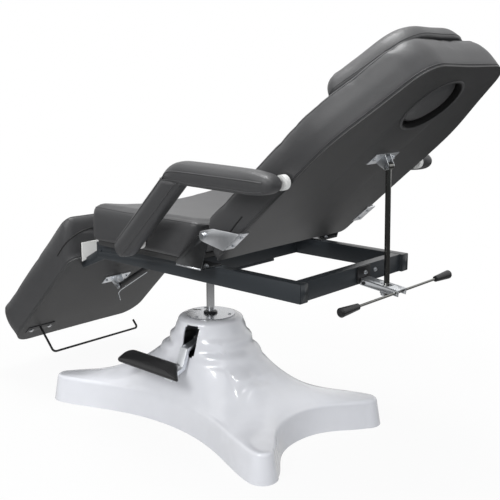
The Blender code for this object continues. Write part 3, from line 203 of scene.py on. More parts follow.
# Stuffing, and how far it may move a point along X, Y and Z
VOXEL = 0.0065
FINE_VOXEL = 0.0050
CLOTH_STEPS = 20
CLOTH_PRESSURE = 4.0
START_INSET = 0.0015
HOLD_HEIGHT = 0.03
SIDE_DRAW = 0.004
SIDE_DRAW_RUN = 0.180
CROWN_SCALES = (0.97, 0.93, 0.85, 0.75, 0.62, 0.48, 0.32, 0.16)
SEAT_SWELL = (0.002, 0.0015, 0.004)
BOARDED_SWELL = (0.002, 0.0015, 0.003)
PLUG_SWELL = (0.001, 0.001, 0.003)
PILLOW_SWELL = (0.002, 0.002, 0.003)
ARM_SWELL = (0.002, 0.001, 0.002)

# (inset, share of the height) of a pad's side, from its foot to its top
LOOSE_SIDE = ((0.009, 0.0), (0.004, 0.035), (0.001, 0.10), (0.0, 0.22), (0.0, 0.55), (0.001, 0.72),
              (0.003, 0.83), (0.0065, 0.92), (0.011, 0.97), (0.018, 1.0))
BOARDED_SIDE = ((0.0090, 0.0), (0.0080, 0.04), (0.0054, 0.14), (0.0024, 0.28), (0.0005, 0.42), (0.0, 0.52),
                (0.0007, 0.64), (0.0024, 0.76), (0.0054, 0.86), (0.0095, 0.94), (0.0170, 1.0))
PILLOW_SIDE = ((0.0015, 0.0), (0.0, 0.08), (0.0, 0.34), (0.0015, 0.64), (0.0045, 0.90), (0.0095, 1.13),
               (0.0170, 1.33), (0.0280, 1.53), (0.0420, 1.68))

# (scale, height) of the face plug's rear face, from its middle to its edge
PLUG_LEVELS = ((0.3, -0.0005), (0.6, 0.001), (0.85, 0.004), (0.96, 0.010), (1.0, 0.020))
PLUG_BULGE = 0.001
PLUG_GAP = 0.0015

# Seams, welts, rear panels and the near-black sheet that paints the shade inside the face hole
SEAM_RADIUS = 0.0011
SEAM_TO_STITCHES = 0.004
EDGE_INSET = 0.010
SEAT_SEAM = (0.008, 0.97)
PILLOW_SEAM = (0.003, 0.30)
WELT_RISE = 0.0085
BACK_WELT = 0.0012
LEG_WELT = 0.0010
PANEL_INSET = 0.0085
PANEL_THICKNESS = 0.0045
PANEL_ROUND = 0.0012
PANEL_PROUD = 0.001
PANEL_HOLE_GAP = 0.001
HOLE_RIM_OUT = 0.004
HOLE_RIM_RISE = 0.001
HOLE_RIM_RADIUS = 0.0034
HOLE_GAP_RISE = 0.0012
HOLE_GAP_RADIUS = 0.0017
HOLE_SHADE_DEPTH = 0.05
HOLE_SHADE_INSETS = (0.0012, 0.0002)

# Slits in the covers, drawn as dark tubes of painted shade, in the frame of their pad, and (radius, how deep sunk)
BACK_SLIT = ((0.067, -0.040), (0.085, -0.038), (0.101, -0.036), (0.116, -0.035), (0.131, -0.034))
BACK_SLIT_SIZE = (0.0024, 0.0010)
LEG_SLIT = ((-0.1524, -0.288, 0.0948), (-0.1350, -0.288, 0.0954), (-0.1182, -0.288, 0.0961),
            (-0.1030, -0.285, 0.0978), (-0.0901, -0.2805, 0.1000), (-0.0790, -0.2730, 0.1025),
            (-0.0713, -0.2639, 0.1050), (-0.0660, -0.2530, 0.1085), (-0.0620, -0.2413, 0.1120),
            (-0.0600, -0.2290, 0.1145), (-0.0584, -0.2168, 0.1170), (-0.0565, -0.1963, 0.1190),
            *((-0.0560, -0.04 * step, 0.1195) for step in (4, 3, 2, 1, 0)))
LEG_SLIT_SIZE = (0.0028, 0.0012)

# Fittings
EDGE_WIDTHS = {
    0.0020: ("side_rail_near", "side_rail_far", "rear_rail", "middle_rail", "column_rail", "front_rail"),
    0.0011: ("leg_hinge_arm_near", "leg_hinge_arm_far"),
    0.0010: ("hinge_bracket_near", "hinge_bracket_far", "back_hinge_plate_near", "back_hinge_plate_far",
             "strut_bracket", "leg_strut_bracket", "leg_strut_anchor", "lock_lever", "pedal_lever",
             "mount_plate", "roll_bar_plate", "seat_board", "lock_block"),
}
LEAF_OUTLINE = ((-0.030, 0.236), (0.031, 0.234), (0.031, 0.166), (-0.012, 0.166))
LEAF_HEIGHTS = (0.0005, 0.0035)
LEAF_ROUND = 0.0008
KEY_SLOT = ((-0.072, -0.012), (-0.054, -0.010), (-0.050, -0.003), (-0.043, -0.001), (-0.043, 0.003),
            (-0.052, 0.003), (-0.058, -0.004), (-0.072, -0.006))
KEY_SLOT_HEIGHTS = (-0.0008, 0.0004)
KEY_SLOT_ROUND = 0.0002
CAP_GAP = 0.0002
CAP_LIP = 0.0022
CAP_INSET = 0.0006
CAP_ROUND = 0.0009
# Size of the bright strips that paint the highlight at the feet of the hinge brackets
FOOT_HIGHLIGHT_REACH = 0.0008
FOOT_HIGHLIGHT_HEIGHT = 0.0042
BRACKET_SHEET = 0.0033
BRACKET_BOLT_END = 0.010
ROLL_SCREW_SHARES = (0.16, 0.84)
ROLL_SCREW_OFFSET = 0.004
WING_SCREW_X = (0.050, 0.088)
WING_SCREW_IN = 0.014
FOOT_BOLT_X = (0.186, 0.250)
FOOT_BOLT_Y = 0.268
FOOT_SHEET = 0.004
MOUNT_BOLT = 0.085
DISC_SCREW_RADIUS = 0.062
DISC_SCREW_TURNS = (30, 150, 270)
LOCK_BOLT_Y = 0.023
LOCK_BOLT_DROP = 0.010
NUT_FROM_FOOT = 0.010

# The photograph's view, with the focal length in pixels of a 500 pixel frame
CAMERA_SPOT = (1.8058, -1.8279, 1.0848)
CAMERA_TURN = (77.84, 0.0, 41.86)
SENSOR_WIDTH = 36.0
CAMERA_LENS = 839 * SENSOR_WIDTH / 500


BACK_AT = Matrix.Translation(JOINTS["back_tilt"]["pos_m"]) @ Matrix.Rotation(-math.radians(BACK_RISE), 4, "Y")
LEG_AT = Matrix.Translation(JOINTS["leg_tilt"]["pos_m"]) @ Matrix.Rotation(-math.radians(LEG_DROP), 4, "Y")


# Node trees

class Term:
    """A node's output; arithmetic on it adds Math nodes to its tree."""

    def __init__(self, tree, socket):
        self.tree = tree
        self.socket = socket

    def other(self, output):
        return Term(self.tree, self.socket.node.outputs[output])

    def worked(self, operation, first, second):
        return self.tree.node("ShaderNodeMath", {"operation": operation}, {0: first, 1: second})

    def __add__(self, other):
        return self.worked("ADD", self, other)

    def __sub__(self, other):
        return self.worked("SUBTRACT", self, other)

    def __rsub__(self, other):
        return self.worked("SUBTRACT", other, self)

    def __mul__(self, other):
        return self.worked("MULTIPLY", self, other)

    __radd__ = __add__
    __rmul__ = __mul__


class NodeTree:
    """A node tree that is filled through one method."""

    def __init__(self, tree):
        self.tree = tree

    def node(self, kind, settings=None, sockets=None, output=0):
        made = self.tree.nodes.new(kind)
        for name, value in (settings or {}).items():
            setattr(made, name, value)
        for key, value in (sockets or {}).items():
            if isinstance(value, Term):
                self.tree.links.new(value.socket, made.inputs[key])
            else:
                made.inputs[key].default_value = value
        return Term(self, made.outputs[output]) if made.outputs else made

    def eased(self, value, low, high):
        settings = {"interpolation_type": "SMOOTHSTEP"}
        return self.node("ShaderNodeMapRange", settings, {"Value": value, "From Min": low, "From Max": high})

    def rays(self):
        """Whether a ray comes from the camera, and whether from a mirror or through glass."""
        seen = self.node("ShaderNodeLightPath")
        return seen, seen.other("Is Glossy Ray") + seen.other("Is Transmission Ray")


class Finish(NodeTree):
    """A procedural material on the piece's own coordinates."""

    def __init__(self, name, **fixed):
        self.material = bpy.data.materials.new(name)
        self.material.use_nodes = True
        super().__init__(self.material.node_tree)
        self.shader = self.tree.nodes["Principled BSDF"]
        for socket, value in fixed.items():
            self.shader.inputs[socket.replace("_", " ")].default_value = value
        self.coords = self.node("ShaderNodeTexCoord", output="Object")

    def feed(self, socket, term):
        self.tree.links.new(term.socket, self.shader.inputs[socket])

    def stretched(self, scale):
        return self.node("ShaderNodeMapping", {}, {"Vector": self.coords, "Scale": scale})

    def noise(self, scale, detail=2.0, vector=None):
        sockets = {"Vector": vector or self.coords, "Scale": scale, "Detail": detail}
        return self.node("ShaderNodeTexNoise", {}, sockets)

    def cells(self, scale):
        sockets = {"Vector": self.coords, "Scale": scale, "Smoothness": 0.3}
        return self.node("ShaderNodeTexVoronoi", {"feature": "SMOOTH_F1"}, sockets)

    def tint(self, share, first, second):
        sockets = {0: share, 6: (*first, 1), 7: (*second, 1)}
        self.feed("Base Color", self.node("ShaderNodeMix", {"data_type": "RGBA"}, sockets, output=2))

    def bump(self, height, depth, strength=1.0):
        sockets = {"Height": height, "Distance": depth, "Strength": strength}
        self.feed("Normal", self.node("ShaderNodeBump", {}, sockets))


def leather(name, dark, light, pebble, sheen):
    """Grained artificial leather, with a slightly uneven colour and gloss."""
    finish = Finish(name, Specular_IOR_Level=sheen)
    broad = finish.noise(5.0, 3.0)
    grain = finish.cells(pebble)
    fine = finish.noise(pebble * 3.1, 1.0)
    creases = finish.noise(pebble * 0.16, 4.0)
    finish.tint(broad * 0.7 + grain * 0.5 - 0.1, dark, light)
    finish.feed("Roughness", 0.36 + broad * 0.10 + fine * 0.10)
    finish.bump(grain * 0.7 + creases * 0.35 + fine * 0.12, 0.0006, 0.55)
    return finish.material


def paint(name, dark, light, rough, peel):
    """Sprayed or baked paint with a faint orange peel."""
    finish = Finish(name)
    peel_noise = finish.noise(peel, 2.0)
    broad = finish.noise(7.0, 3.0)
    finish.tint(broad, dark, light)
    finish.feed("Roughness", rough - 0.06 + 0.12 * peel_noise)
    finish.bump(peel_noise, 0.0003, 0.35)
    return finish.material


def metal(name, dark, light, rough, grain, stretch, ripple=0.0):
    """Plated or bright steel, with drawn marks along one direction and a slight ripple."""
    finish = Finish(name, Metallic=1.0)
    marks = finish.noise(grain, 3.0, finish.stretched(stretch))
    cloudy = finish.noise(22.0, 3.0)
    finish.tint(marks * 0.5 + cloudy * 0.5, dark, light)
    finish.feed("Roughness", rough - 0.05 + 0.10 * marks + 0.06 * cloudy)
    finish.bump(marks * 0.06 + finish.noise(38.0, 1.0) * ripple, 0.0016, 0.25)
    return finish.material


def moulded(name, dark, light, rough, depth):
    """Moulded plastic with a fine spark-eroded texture."""
    finish = Finish(name)
    spark = finish.noise(1400.0, 2.0)
    broad = finish.noise(9.0, 2.0)
    finish.tint(broad, dark, light)
    finish.feed("Roughness", rough - 0.05 + 0.10 * spark + 0.06 * broad)
    finish.bump(spark, depth, 0.4)
    return finish.material


def white_gloss(name):
    """Glossy moulded shell with soft flow marks."""
    finish = Finish(name, Coat_Roughness=0.05, Specular_IOR_Level=0.5)
    flow = finish.noise(4.0, 2.0)
    film = finish.noise(11.0, 2.0)
    scuff = finish.noise(160.0, 4.0)
    finish.tint(flow, (0.690, 0.700, 0.735), (0.765, 0.770, 0.800))
    finish.feed("Roughness", 0.14 + 0.10 * film + 0.05 * scuff)
    finish.feed("Coat Weight", finish.eased(film, 0.25, 0.60))
    finish.bump(film, 0.003, 0.22)
    return finish.material


FINISH = {
    "leather": leather("grey_leather", (0.039, 0.039, 0.040), (0.056, 0.056, 0.058), 640.0, 0.50),
    "covered_board": leather("board_cover", (0.035, 0.035, 0.035), (0.049, 0.049, 0.049), 820.0, 0.40),
    "frame_paint": paint("frame_powder_coat", (0.022, 0.026, 0.030), (0.032, 0.037, 0.042), 0.36, 950.0),
    "white_shell": white_gloss("white_base_shell"),
    "zinc": metal("zinc_plating", (0.74, 0.77, 0.81), (0.92, 0.94, 0.96), 0.27, 130.0, (1.0, 1.0, 0.3), 1.0),
    "chrome": metal("bright_plating", (0.66, 0.67, 0.69), (0.80, 0.81, 0.82), 0.16, 260.0, (1.0, 1.0, 0.2)),
    "black_plastic": moulded("black_moulding", (0.010, 0.010, 0.011), (0.017, 0.017, 0.018), 0.34, 0.0002),
    "black_wire": paint("black_wire_paint", (0.010, 0.010, 0.011), (0.016, 0.016, 0.018), 0.36, 700.0),
    "nylon": moulded("white_nylon", (0.74, 0.74, 0.72), (0.82, 0.82, 0.80), 0.45, 0.0002),
    "pump_paint": paint("pump_primer", (0.10, 0.105, 0.11), (0.14, 0.145, 0.15), 0.5, 600.0),
    "grey_steel": metal("grey_steel_disc", (0.50, 0.51, 0.53), (0.62, 0.63, 0.65), 0.24, 300.0,
                        (1.0, 0.2, 1.0)),
}
# Chrome darkened to paint the dark reflections of the strut rod and the release bar
CHROME_DARKENED_FOR_REFLECTIONS = metal("dark_bright_rod", (0.20, 0.20, 0.19), (0.30, 0.30, 0.285), 0.12, 200.0, (1.0, 1.0, 0.1))
# Plating darkened to paint the dark reflections of the hinge brackets
PLATING_DARKENED_FOR_REFLECTIONS = metal("smoked_plating", (0.15, 0.155, 0.16), (0.26, 0.265, 0.27), 0.20, 130.0,
                       (1.0, 1.0, 0.3), 1.0)
SATIN_PLATING = metal("satin_plating", (0.80, 0.82, 0.85), (0.93, 0.94, 0.96), 0.36, 130.0,
                      (1.0, 1.0, 0.3), 1.0)
THREAD = moulded("sewing_thread", (0.026, 0.026, 0.027), (0.036, 0.036, 0.037), 0.6, 0.0001)
# Near-black finish that paints the shade inside slits, gaps and holes of the couch
SHADOW_GAP = moulded("dark_slit", (0.006, 0.006, 0.006), (0.009, 0.009, 0.009), 0.7, 0.0001)


# Meshes and pieces

def clamped(value):
    """The value held between 0 and 1."""
    return min(1.0, max(0.0, value))


def link_piece(name, mesh, finish):
    piece = bpy.data.objects.new(name, mesh)
    bpy.context.scene.collection.objects.link(piece)
    mesh.materials.clear()
    mesh.materials.append(finish)
    return piece


def to_mesh(bm, name):
    bmesh.ops.recalc_face_normals(bm, faces=bm.faces)
    for face in bm.faces:
        face.smooth = True
    mesh = bpy.data.meshes.new(name)
    bm.to_mesh(mesh)
    bm.free()
    return mesh


def loft(rings, start=None, end=None):
    """Closed rings joined by quads, each end closed by a fan to a point where one is given."""
    bm = bmesh.new()
    rows = [[bm.verts.new(point) for point in ring] for ring in rings]
    for lower, upper in zip(rows, rows[1:]):
        for k in range(len(lower)):
            bm.faces.new((lower[k - 1], lower[k], upper[k], upper[k - 1]))
    for row, tip in ((rows[0], start), (rows[-1], end)):
        if tip is not None:
            centre = bm.verts.new(tip)
            for k in range(len(row)):
                bm.faces.new((row[k - 1], row[k], centre))
    return bm


def plain(piece):
    """The piece's modifiers applied to its mesh."""
    graph = bpy.context.evaluated_depsgraph_get()
    mesh = bpy.data.meshes.new_from_object(piece.evaluated_get(graph), depsgraph=graph)
    worn = piece.data
    piece.modifiers.clear()
    piece.data = mesh
    bpy.data.meshes.remove(worn)
    return piece


def modified(piece, kind, **settings):
    modifier = piece.modifiers.new(kind.lower(), kind)
    for name, value in settings.items():
        setattr(modifier, name, value)
    return modifier


def cut_by(piece, bm):
    """The piece's modifiers and a cut by a closed shape applied to its mesh."""
    cutter = link_piece("cutter", to_mesh(bm, "cutter"), piece.data.materials[0])
    modified(piece, "BOOLEAN", operation="DIFFERENCE", object=cutter, solver="EXACT")
    plain(piece)
    bpy.data.objects.remove(cutter)


def ridden(piece, body, replaced=()):
    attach(piece, body)
    if replaced:
        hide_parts(*replaced)
    return piece


def rounded(corners, radii, steps=10):
    """A closed outline through corners, each replaced by an arc of its own radius."""
    outline = []
    for i, corner in enumerate(corners):
        here = Vector(corner)
        before = (Vector(corners[i - 1]) - here).normalized()
        after = (Vector(corners[(i + 1) % len(corners)]) - here).normalized()
        half = before.angle(after) / 2
        middle = here + (before + after).normalized() * (radii[i] / math.sin(half))
        first = here + before * (radii[i] / math.tan(half)) - middle
        last = here + after * (radii[i] / math.tan(half)) - middle
        sweep = first.angle_signed(last)
        for k in range(steps + 1):
            outline.append(tuple(middle + Matrix.Rotation(-sweep * k / steps, 2) @ first))
    return outline


def filled_in(outline, longest=0.02):
    """The outline with extra points on its long straight runs."""
    dense = []
    for first, second in zip(outline, outline[1:] + outline[:1]):
        run = Vector(second) - Vector(first)
        pieces = max(1, math.ceil(run.length / longest))
        dense += [tuple(Vector(first) + run * k / pieces) for k in range(pieces)]
    return dense


def inset(outline, distance):
    """A counter-clockwise outline moved inwards."""
    moved = []
    for i, point in enumerate(outline):
        along = Vector(outline[(i + 1) % len(outline)]) - Vector(outline[i - 1])
        moved.append(tuple(Vector(point) + Vector((-along.y, along.x)).normalized() * distance))
    return moved


def mirrored_corners(x_first, x_last, half_first, half_last):
    return [(x_first, -half_first), (x_last, -half_last), (x_last, half_last), (x_first, half_first)]


def drawn_in(outline, corners):
    """Side midpoints pulled in between the corners, as a stretched cover does."""
    result = []
    for point, drawn in zip(outline, inset(outline, SIDE_DRAW)):
        nearest = min((Vector(point) - Vector(corner)).length for corner in corners)
        result.append(tuple(Vector(point).lerp(Vector(drawn), min(1.0, nearest / SIDE_DRAW_RUN))))
    return result


def pad_rings(outline, levels, crown, shape, fullness=2.0):
    """Rings of a pad from its underside to its crowned top; levels are (inset, height)."""
    middle = sum((Vector(point) for point in outline), Vector((0, 0))) / len(outline)
    rings = [[(x, y, height) for x, y in inset(outline, step)] for step, height in levels]
    top = levels[-1][1]
    last = [Vector((x, y)) for x, y, height in rings[-1]]
    for scale in CROWN_SCALES:
        lift = top + crown * (1 - scale ** fullness)
        rings.append([(*(middle + (point - middle) * scale), lift) for point in last])
    rings = [[shape(*point) for point in ring] for ring in rings]
    return rings, shape(*middle, levels[0][1]), shape(*middle, top + crown)


def points_of(mesh):
    spots = np.empty(len(mesh.vertices) * 3)
    mesh.vertices.foreach_get("co", spots)
    return spots.reshape(-1, 3)


def stuffed(piece, voxel, caps, low, hold):
    """Even mesh, a short cloth run under pressure, smoothing and one subdivision.

    No point moves further than caps along X, Y and Z, and none that rests on the plane low.
    """
    modified(piece, "REMESH", mode="VOXEL", voxel_size=voxel)
    plain(piece)
    start = points_of(piece.data)
    cloth = piece.modifiers.new("stuffing", "CLOTH")
    cloth.settings.quality = 4
    cloth.settings.use_pressure = True
    cloth.settings.uniform_pressure_force = CLOTH_PRESSURE
    cloth.settings.effector_weights.gravity = 0.0
    cloth.point_cache.frame_start = 1
    cloth.point_cache.frame_end = CLOTH_STEPS
    scene = bpy.context.scene
    for step in range(1, CLOTH_STEPS + 1):
        scene.frame_set(step)
    graph = bpy.context.evaluated_depsgraph_get()
    moved = points_of(piece.evaluated_get(graph).data) - start
    piece.modifiers.clear()
    scene.frame_set(1)
    moved -= moved.mean(axis=0)
    moved = np.clip(moved, -np.array(caps), np.array(caps))
    held = np.clip((start[:, 2] - low) / hold, 0.0, 1.0)
    spots = start + moved * (held * held * (3 - 2 * held))[:, None]
    piece.data.vertices.foreach_set("co", spots.ravel())
    piece.data.update()
    modified(piece, "SMOOTH", factor=0.5, iterations=4)
    modified(piece, "SUBSURF", levels=1, render_levels=1)
    plain(piece)
    piece.data.shade_smooth()
    return piece


def placed(piece, at):
    piece.data.transform(at)
    piece.data.update()
    return piece


def surface_of(piece):
    spots = [vert.co for vert in piece.data.vertices]
    return BVHTree.FromPolygons(spots, [face.vertices[:] for face in piece.data.polygons])


def laid_on(surface, path, proud=0.0):
    """The path moved onto a piece's surface, proud of it by a little."""
    laid = []
    for point in path:
        spot, normal, face, distance = surface.find_nearest(Vector(point))
        laid.append(spot + normal * proud)
    return laid


# Repeated and path-following pieces

class Recipe(NodeTree):
    """A Geometry Nodes tree with named sizes, turned into a plain mesh for each body."""

    def __init__(self, name, **sizes):
        super().__init__(bpy.data.node_groups.new(name, "GeometryNodeTree"))
        self.sizes = {}
        self.tree.interface.new_socket("Geometry", in_out="INPUT", socket_type="NodeSocketGeometry")
        for size, value in sizes.items():
            kind = "NodeSocketInt" if isinstance(value, int) else "NodeSocketFloat"
            socket = self.tree.interface.new_socket(size, in_out="INPUT", socket_type=kind)
            socket.default_value = value
            self.sizes[size] = socket.identifier
        self.tree.interface.new_socket("Geometry", in_out="OUTPUT", socket_type="NodeSocketGeometry")
        self.given = self.node("NodeGroupInput")

    def close(self, geometry):
        solid = self.node("GeometryNodeRealizeInstances", {}, {"Geometry": geometry})
        self.painter = self.tree.nodes.new("GeometryNodeSetMaterial")
        self.tree.links.new(solid.socket, self.painter.inputs["Geometry"])
        result = self.tree.nodes.new("NodeGroupOutput")
        self.tree.links.new(self.painter.outputs["Geometry"], result.inputs["Geometry"])

    def made(self, name, carrier, finish, **sizes):
        piece = link_piece(name, carrier, finish)
        self.painter.inputs["Material"].default_value = finish
        modifier = piece.modifiers.new("recipe", "NODES")
        modifier.node_group = self.tree
        for size, value in sizes.items():
            modifier[self.sizes[size]] = value
        return plain(piece)


def piping_recipe():
    recipe = Recipe("piping", Radius=0.002)
    path = recipe.node("GeometryNodeMeshToCurve", {}, {"Mesh": recipe.given})
    ring = recipe.node("GeometryNodeCurvePrimitiveCircle", {},
                       {"Resolution": 8, "Radius": recipe.given.other("Radius")})
    tube = recipe.node("GeometryNodeCurveToMesh", {},
                       {"Curve": path, "Profile Curve": ring, "Fill Caps": True})
    recipe.close(recipe.node("GeometryNodeSetShadeSmooth", {}, {"Geometry": tube}))
    return recipe


def stitch_recipe():
    recipe = Recipe("stitches", Pitch=0.006, Length=0.004, Thread=0.0006)
    path = recipe.node("GeometryNodeMeshToCurve", {}, {"Mesh": recipe.given})
    spots = recipe.node("GeometryNodeCurveToPoints", {"mode": "LENGTH"},
                        {"Curve": path, "Length": recipe.given.other("Pitch")})
    bead = recipe.node("GeometryNodeMeshUVSphere", {}, {"Segments": 6, "Rings": 4, "Radius": 0.5})
    thread = recipe.given.other("Thread")
    size = recipe.node("ShaderNodeCombineXYZ", {}, {0: thread, 1: thread, 2: recipe.given.other("Length")})
    stitch = recipe.node("GeometryNodeTransform", {}, {"Geometry": bead, "Scale": size})
    laid = recipe.node("GeometryNodeInstanceOnPoints", {},
                       {"Points": spots, "Instance": stitch, "Rotation": spots.other("Rotation")})
    recipe.close(laid)
    return recipe


def bolt_recipe():
    recipe = Recipe("bolt_heads", Across=0.010, Height=0.005, Washer=0.016, Sides=6)
    across = recipe.given.other("Across")
    height = recipe.given.other("Height")
    sides = recipe.given.other("Sides")
    washer = recipe.node("GeometryNodeMeshCylinder", {},
                         {"Vertices": 24, "Radius": recipe.given.other("Washer") * 0.5, "Depth": 0.0024})
    head = recipe.node("GeometryNodeMeshCone", {}, {"Vertices": sides, "Radius Top": across * 0.5,
                                                    "Radius Bottom": across * 0.5, "Depth": height * 0.75})
    cap = recipe.node("GeometryNodeMeshCone", {}, {"Vertices": sides, "Radius Top": across * 0.40,
                                                   "Radius Bottom": across * 0.5, "Depth": height * 0.25})
    lift = recipe.node("ShaderNodeCombineXYZ", {}, {2: height * 0.75})
    raised = recipe.node("GeometryNodeTransform", {}, {"Geometry": cap, "Translation": lift})
    joined = recipe.node("GeometryNodeJoinGeometry")
    for shape in (washer, head, raised):
        recipe.tree.links.new(shape.socket, joined.socket.node.inputs["Geometry"])
    facing = recipe.node("GeometryNodeInputNamedAttribute", {"data_type": "FLOAT_VECTOR"}, {"Name": "facing"})
    turn = recipe.node("FunctionNodeAlignRotationToVector", {"axis": "Z"}, {"Vector": facing})
    spots = recipe.node("GeometryNodeMeshToPoints", {}, {"Mesh": recipe.given})
    laid = recipe.node("GeometryNodeInstanceOnPoints", {},
                       {"Points": spots, "Instance": joined, "Rotation": turn})
    recipe.close(laid)
    return recipe


PIPING = piping_recipe()
STITCHES = stitch_recipe()
BOLTS = bolt_recipe()


def paths_mesh(name, paths, closed):
    """Edges along each path, as the carrier of a recipe."""
    spots, edges = [], []
    for path in paths:
        first = len(spots)
        spots += [tuple(point) for point in path]
        edges += [(first + k, first + k + 1) for k in range(len(path) - 1)]
        if closed:
            edges.append((len(spots) - 1, first))
    mesh = bpy.data.meshes.new(name)
    mesh.from_pydata(spots, edges, [])
    return mesh


def piped(name, paths, radius, body, finish=None, slot="leather", closed=True):
    carrier = paths_mesh(name, paths, closed)
    piece = PIPING.made(name, carrier, finish or FINISH[slot], Radius=radius)
    return ridden(piece, body)


def stitched(name, paths, body, closed=True):
    carrier = paths_mesh(name, paths, closed)
    piece = STITCHES.made(name, carrier, THREAD, Pitch=0.007, Length=0.0046, Thread=0.0011)
    return ridden(piece, body)


def bolted(name, spots, body, slot, **sizes):
    """Bolt heads at (point, facing) pairs."""
    mesh = bpy.data.meshes.new(name)
    mesh.from_pydata([tuple(point) for point, facing in spots], [], [])
    marks = mesh.attributes.new("facing", "FLOAT_VECTOR", "POINT")
    for mark, (point, facing) in zip(marks.data, spots):
        mark.vector = facing
    return ridden(BOLTS.made(name, mesh, FINISH[slot], **sizes), body)


# Seat, back, leg rest, pillow

def pad(name, outline, corners, low, height, crown, shape, caps, side=BOARDED_SIDE, voxel=VOXEL):
    outline = inset(drawn_in(filled_in(outline), corners), START_INSET)
    levels = [(step, low + share * height) for step, share in side]
    rings, under, top = pad_rings(outline, levels, crown, shape)
    piece = link_piece(name, to_mesh(loft(rings, under, top), name), FINISH["leather"])
    return stuffed(piece, voxel, caps, low, HOLD_HEIGHT)


def make_seat():
    corners = mirrored_corners(*SEAT_X, PAD_HALF_WIDTH, PAD_HALF_WIDTH)
    outline = rounded(corners, SEAT_RADII)

    def shape(x, y, z):
        share = clamped((z - SEAT_LOW) / SEAT_THICKNESS)
        near_rear = clamped(1 + (x - SEAT_X[1]) / SEAT_SLANT_RUN)
        dish = SEAT_DISH * share * (1 - (y / PAD_HALF_WIDTH) ** 2)
        return x + SEAT_OVERHANG * share * near_rear, y, z - dish

    seat = pad("seat_pad", outline, corners, SEAT_LOW, SEAT_THICKNESS, SEAT_CROWN, shape,
               SEAT_SWELL, LOOSE_SIDE)
    ridden(seat, "frame", ["seat_cushion"])
    seam_z = SEAT_LOW + SEAT_SEAM[1] * SEAT_THICKNESS
    path = [shape(x, y, seam_z) for x, y in inset(filled_in(outline), SEAT_SEAM[0])]
    sewn("seat_edge", laid_on(surface_of(seat), path), "frame")


def back_shape(x, y, z):
    """A point of the back's cushion, drawn back at its foot and leaning in at its head."""
    share = clamped((z - BACK_REAR - BOARD) / BACK_THICKNESS)
    near_foot = clamped(1 + (BACK_FOOT_X - x) / SLANT_RUN)
    near_head = clamped(1 + (x - BACK_HEAD_X) / SLANT_RUN)
    return x + share * (BACK_SETBACK * near_foot - BACK_LEAN * near_head), y, z


def hole_outline(grow=0.0, sides=96):
    """The face hole's edge, grown outwards."""
    half_x, half_y = [half + grow for half in HOLE_HALF]
    turns = [2 * math.pi * k / sides for k in range(sides)]
    return [(HOLE_X + half_x * math.cos(turn), half_y * math.sin(turn)) for turn in turns]


def hole_ring(grow, z):
    """The face hole's edge, grown outwards, at a height of the back."""
    return [BACK_AT @ Vector((x, y, z)) for x, y in hole_outline(grow)]


def back_outline():
    half = PAD_HALF_WIDTH
    shoulder = BACK_HEAD_X - BACK_TAPER
    right = [(BACK_FOOT_X, -half), (shoulder, -half), (BACK_HEAD_X, -BACK_HEAD_HALF)]
    corners = right + [(x, -y) for x, y in reversed(right)]
    return corners, rounded(corners, BACK_RADII, 16)


def make_back():
    corners, outline = back_outline()
    total = BOARD + FIT_GAP + BACK_THICKNESS
    back = pad("back_pad", outline, corners, BACK_REAR, total, BACK_CROWN, back_shape, BOARDED_SWELL)
    reach = 2 * total
    through = [[(x, y, z) for x, y in hole_outline()] for z in (-reach, reach)]
    cut_by(back, loft(through, (HOLE_X, 0, -reach), (HOLE_X, 0, reach)))
    placed(back, BACK_AT)
    ridden(back, "backrest", ["back_cushion", "back_board"])
    surface = surface_of(back)
    edge = inset(drawn_in(filled_in(outline), corners), PANEL_INSET)
    rear_panel("back_rear_panel", [edge, hole_outline(PANEL_HOLE_GAP)], BACK_REAR, BACK_AT, "backrest")
    welt = [BACK_AT @ Vector((x, y, BACK_REAR + WELT_RISE)) for x, y in edge]
    piped("back_welt", [laid_on(surface, welt)], BACK_WELT, "backrest")
    line_face_hole()
    radius, sunk = BACK_SLIT_SIZE
    slits = []
    for side_name, side in SIDES:
        slit = [BACK_AT @ Vector((x, side * PAD_HALF_WIDTH, z)) for x, z in BACK_SLIT]
        slits.append(laid_on(surface, slit, -sunk))
    # Each slit is a near-black tube sunk into the cover, painting the shade inside the opening
    piped("back_side_slits", slits, radius, "backrest", SHADOW_GAP, closed=False)
    top = BACK_REAR + total
    top_edge = [BACK_AT @ Vector(back_shape(x, y, top)) for x, y in inset(filled_in(outline), EDGE_INSET)]
    sewn("back_edge", laid_on(surface, top_edge), "backrest")
    make_plug()


def line_face_hole():
    """The rolled rim of the face hole, a dark tube painting the shade in the gap inside it, and a dark sheet
    painting the shade on the hole's inner wall.
    """
    rim = hole_ring(HOLE_RIM_OUT, BACK_REAR - HOLE_RIM_RISE)
    piped("face_hole_rim", [rim], HOLE_RIM_RADIUS, "backrest")
    # A near-black ring painting the shade in the gap between the plug and the hole
    gap = hole_ring(0.0, BACK_REAR - HOLE_GAP_RISE)
    piped("face_hole_gap", [gap], HOLE_GAP_RADIUS, "backrest", SHADOW_GAP)
    inner, outer = HOLE_SHADE_INSETS
    deep = BACK_REAR + HOLE_SHADE_DEPTH
    section = ((inner, BACK_REAR), (inner, deep), (outer, deep), (outer, BACK_REAR), (inner, BACK_REAR))
    # A near-black sheet on the hole's inner wall, painting its shade
    liner = [hole_ring(-step, z) for step, z in section]
    ring = link_piece("face_hole_shade_sheet", to_mesh(loft(liner), "liner"), SHADOW_GAP)
    ridden(ring, "backrest")


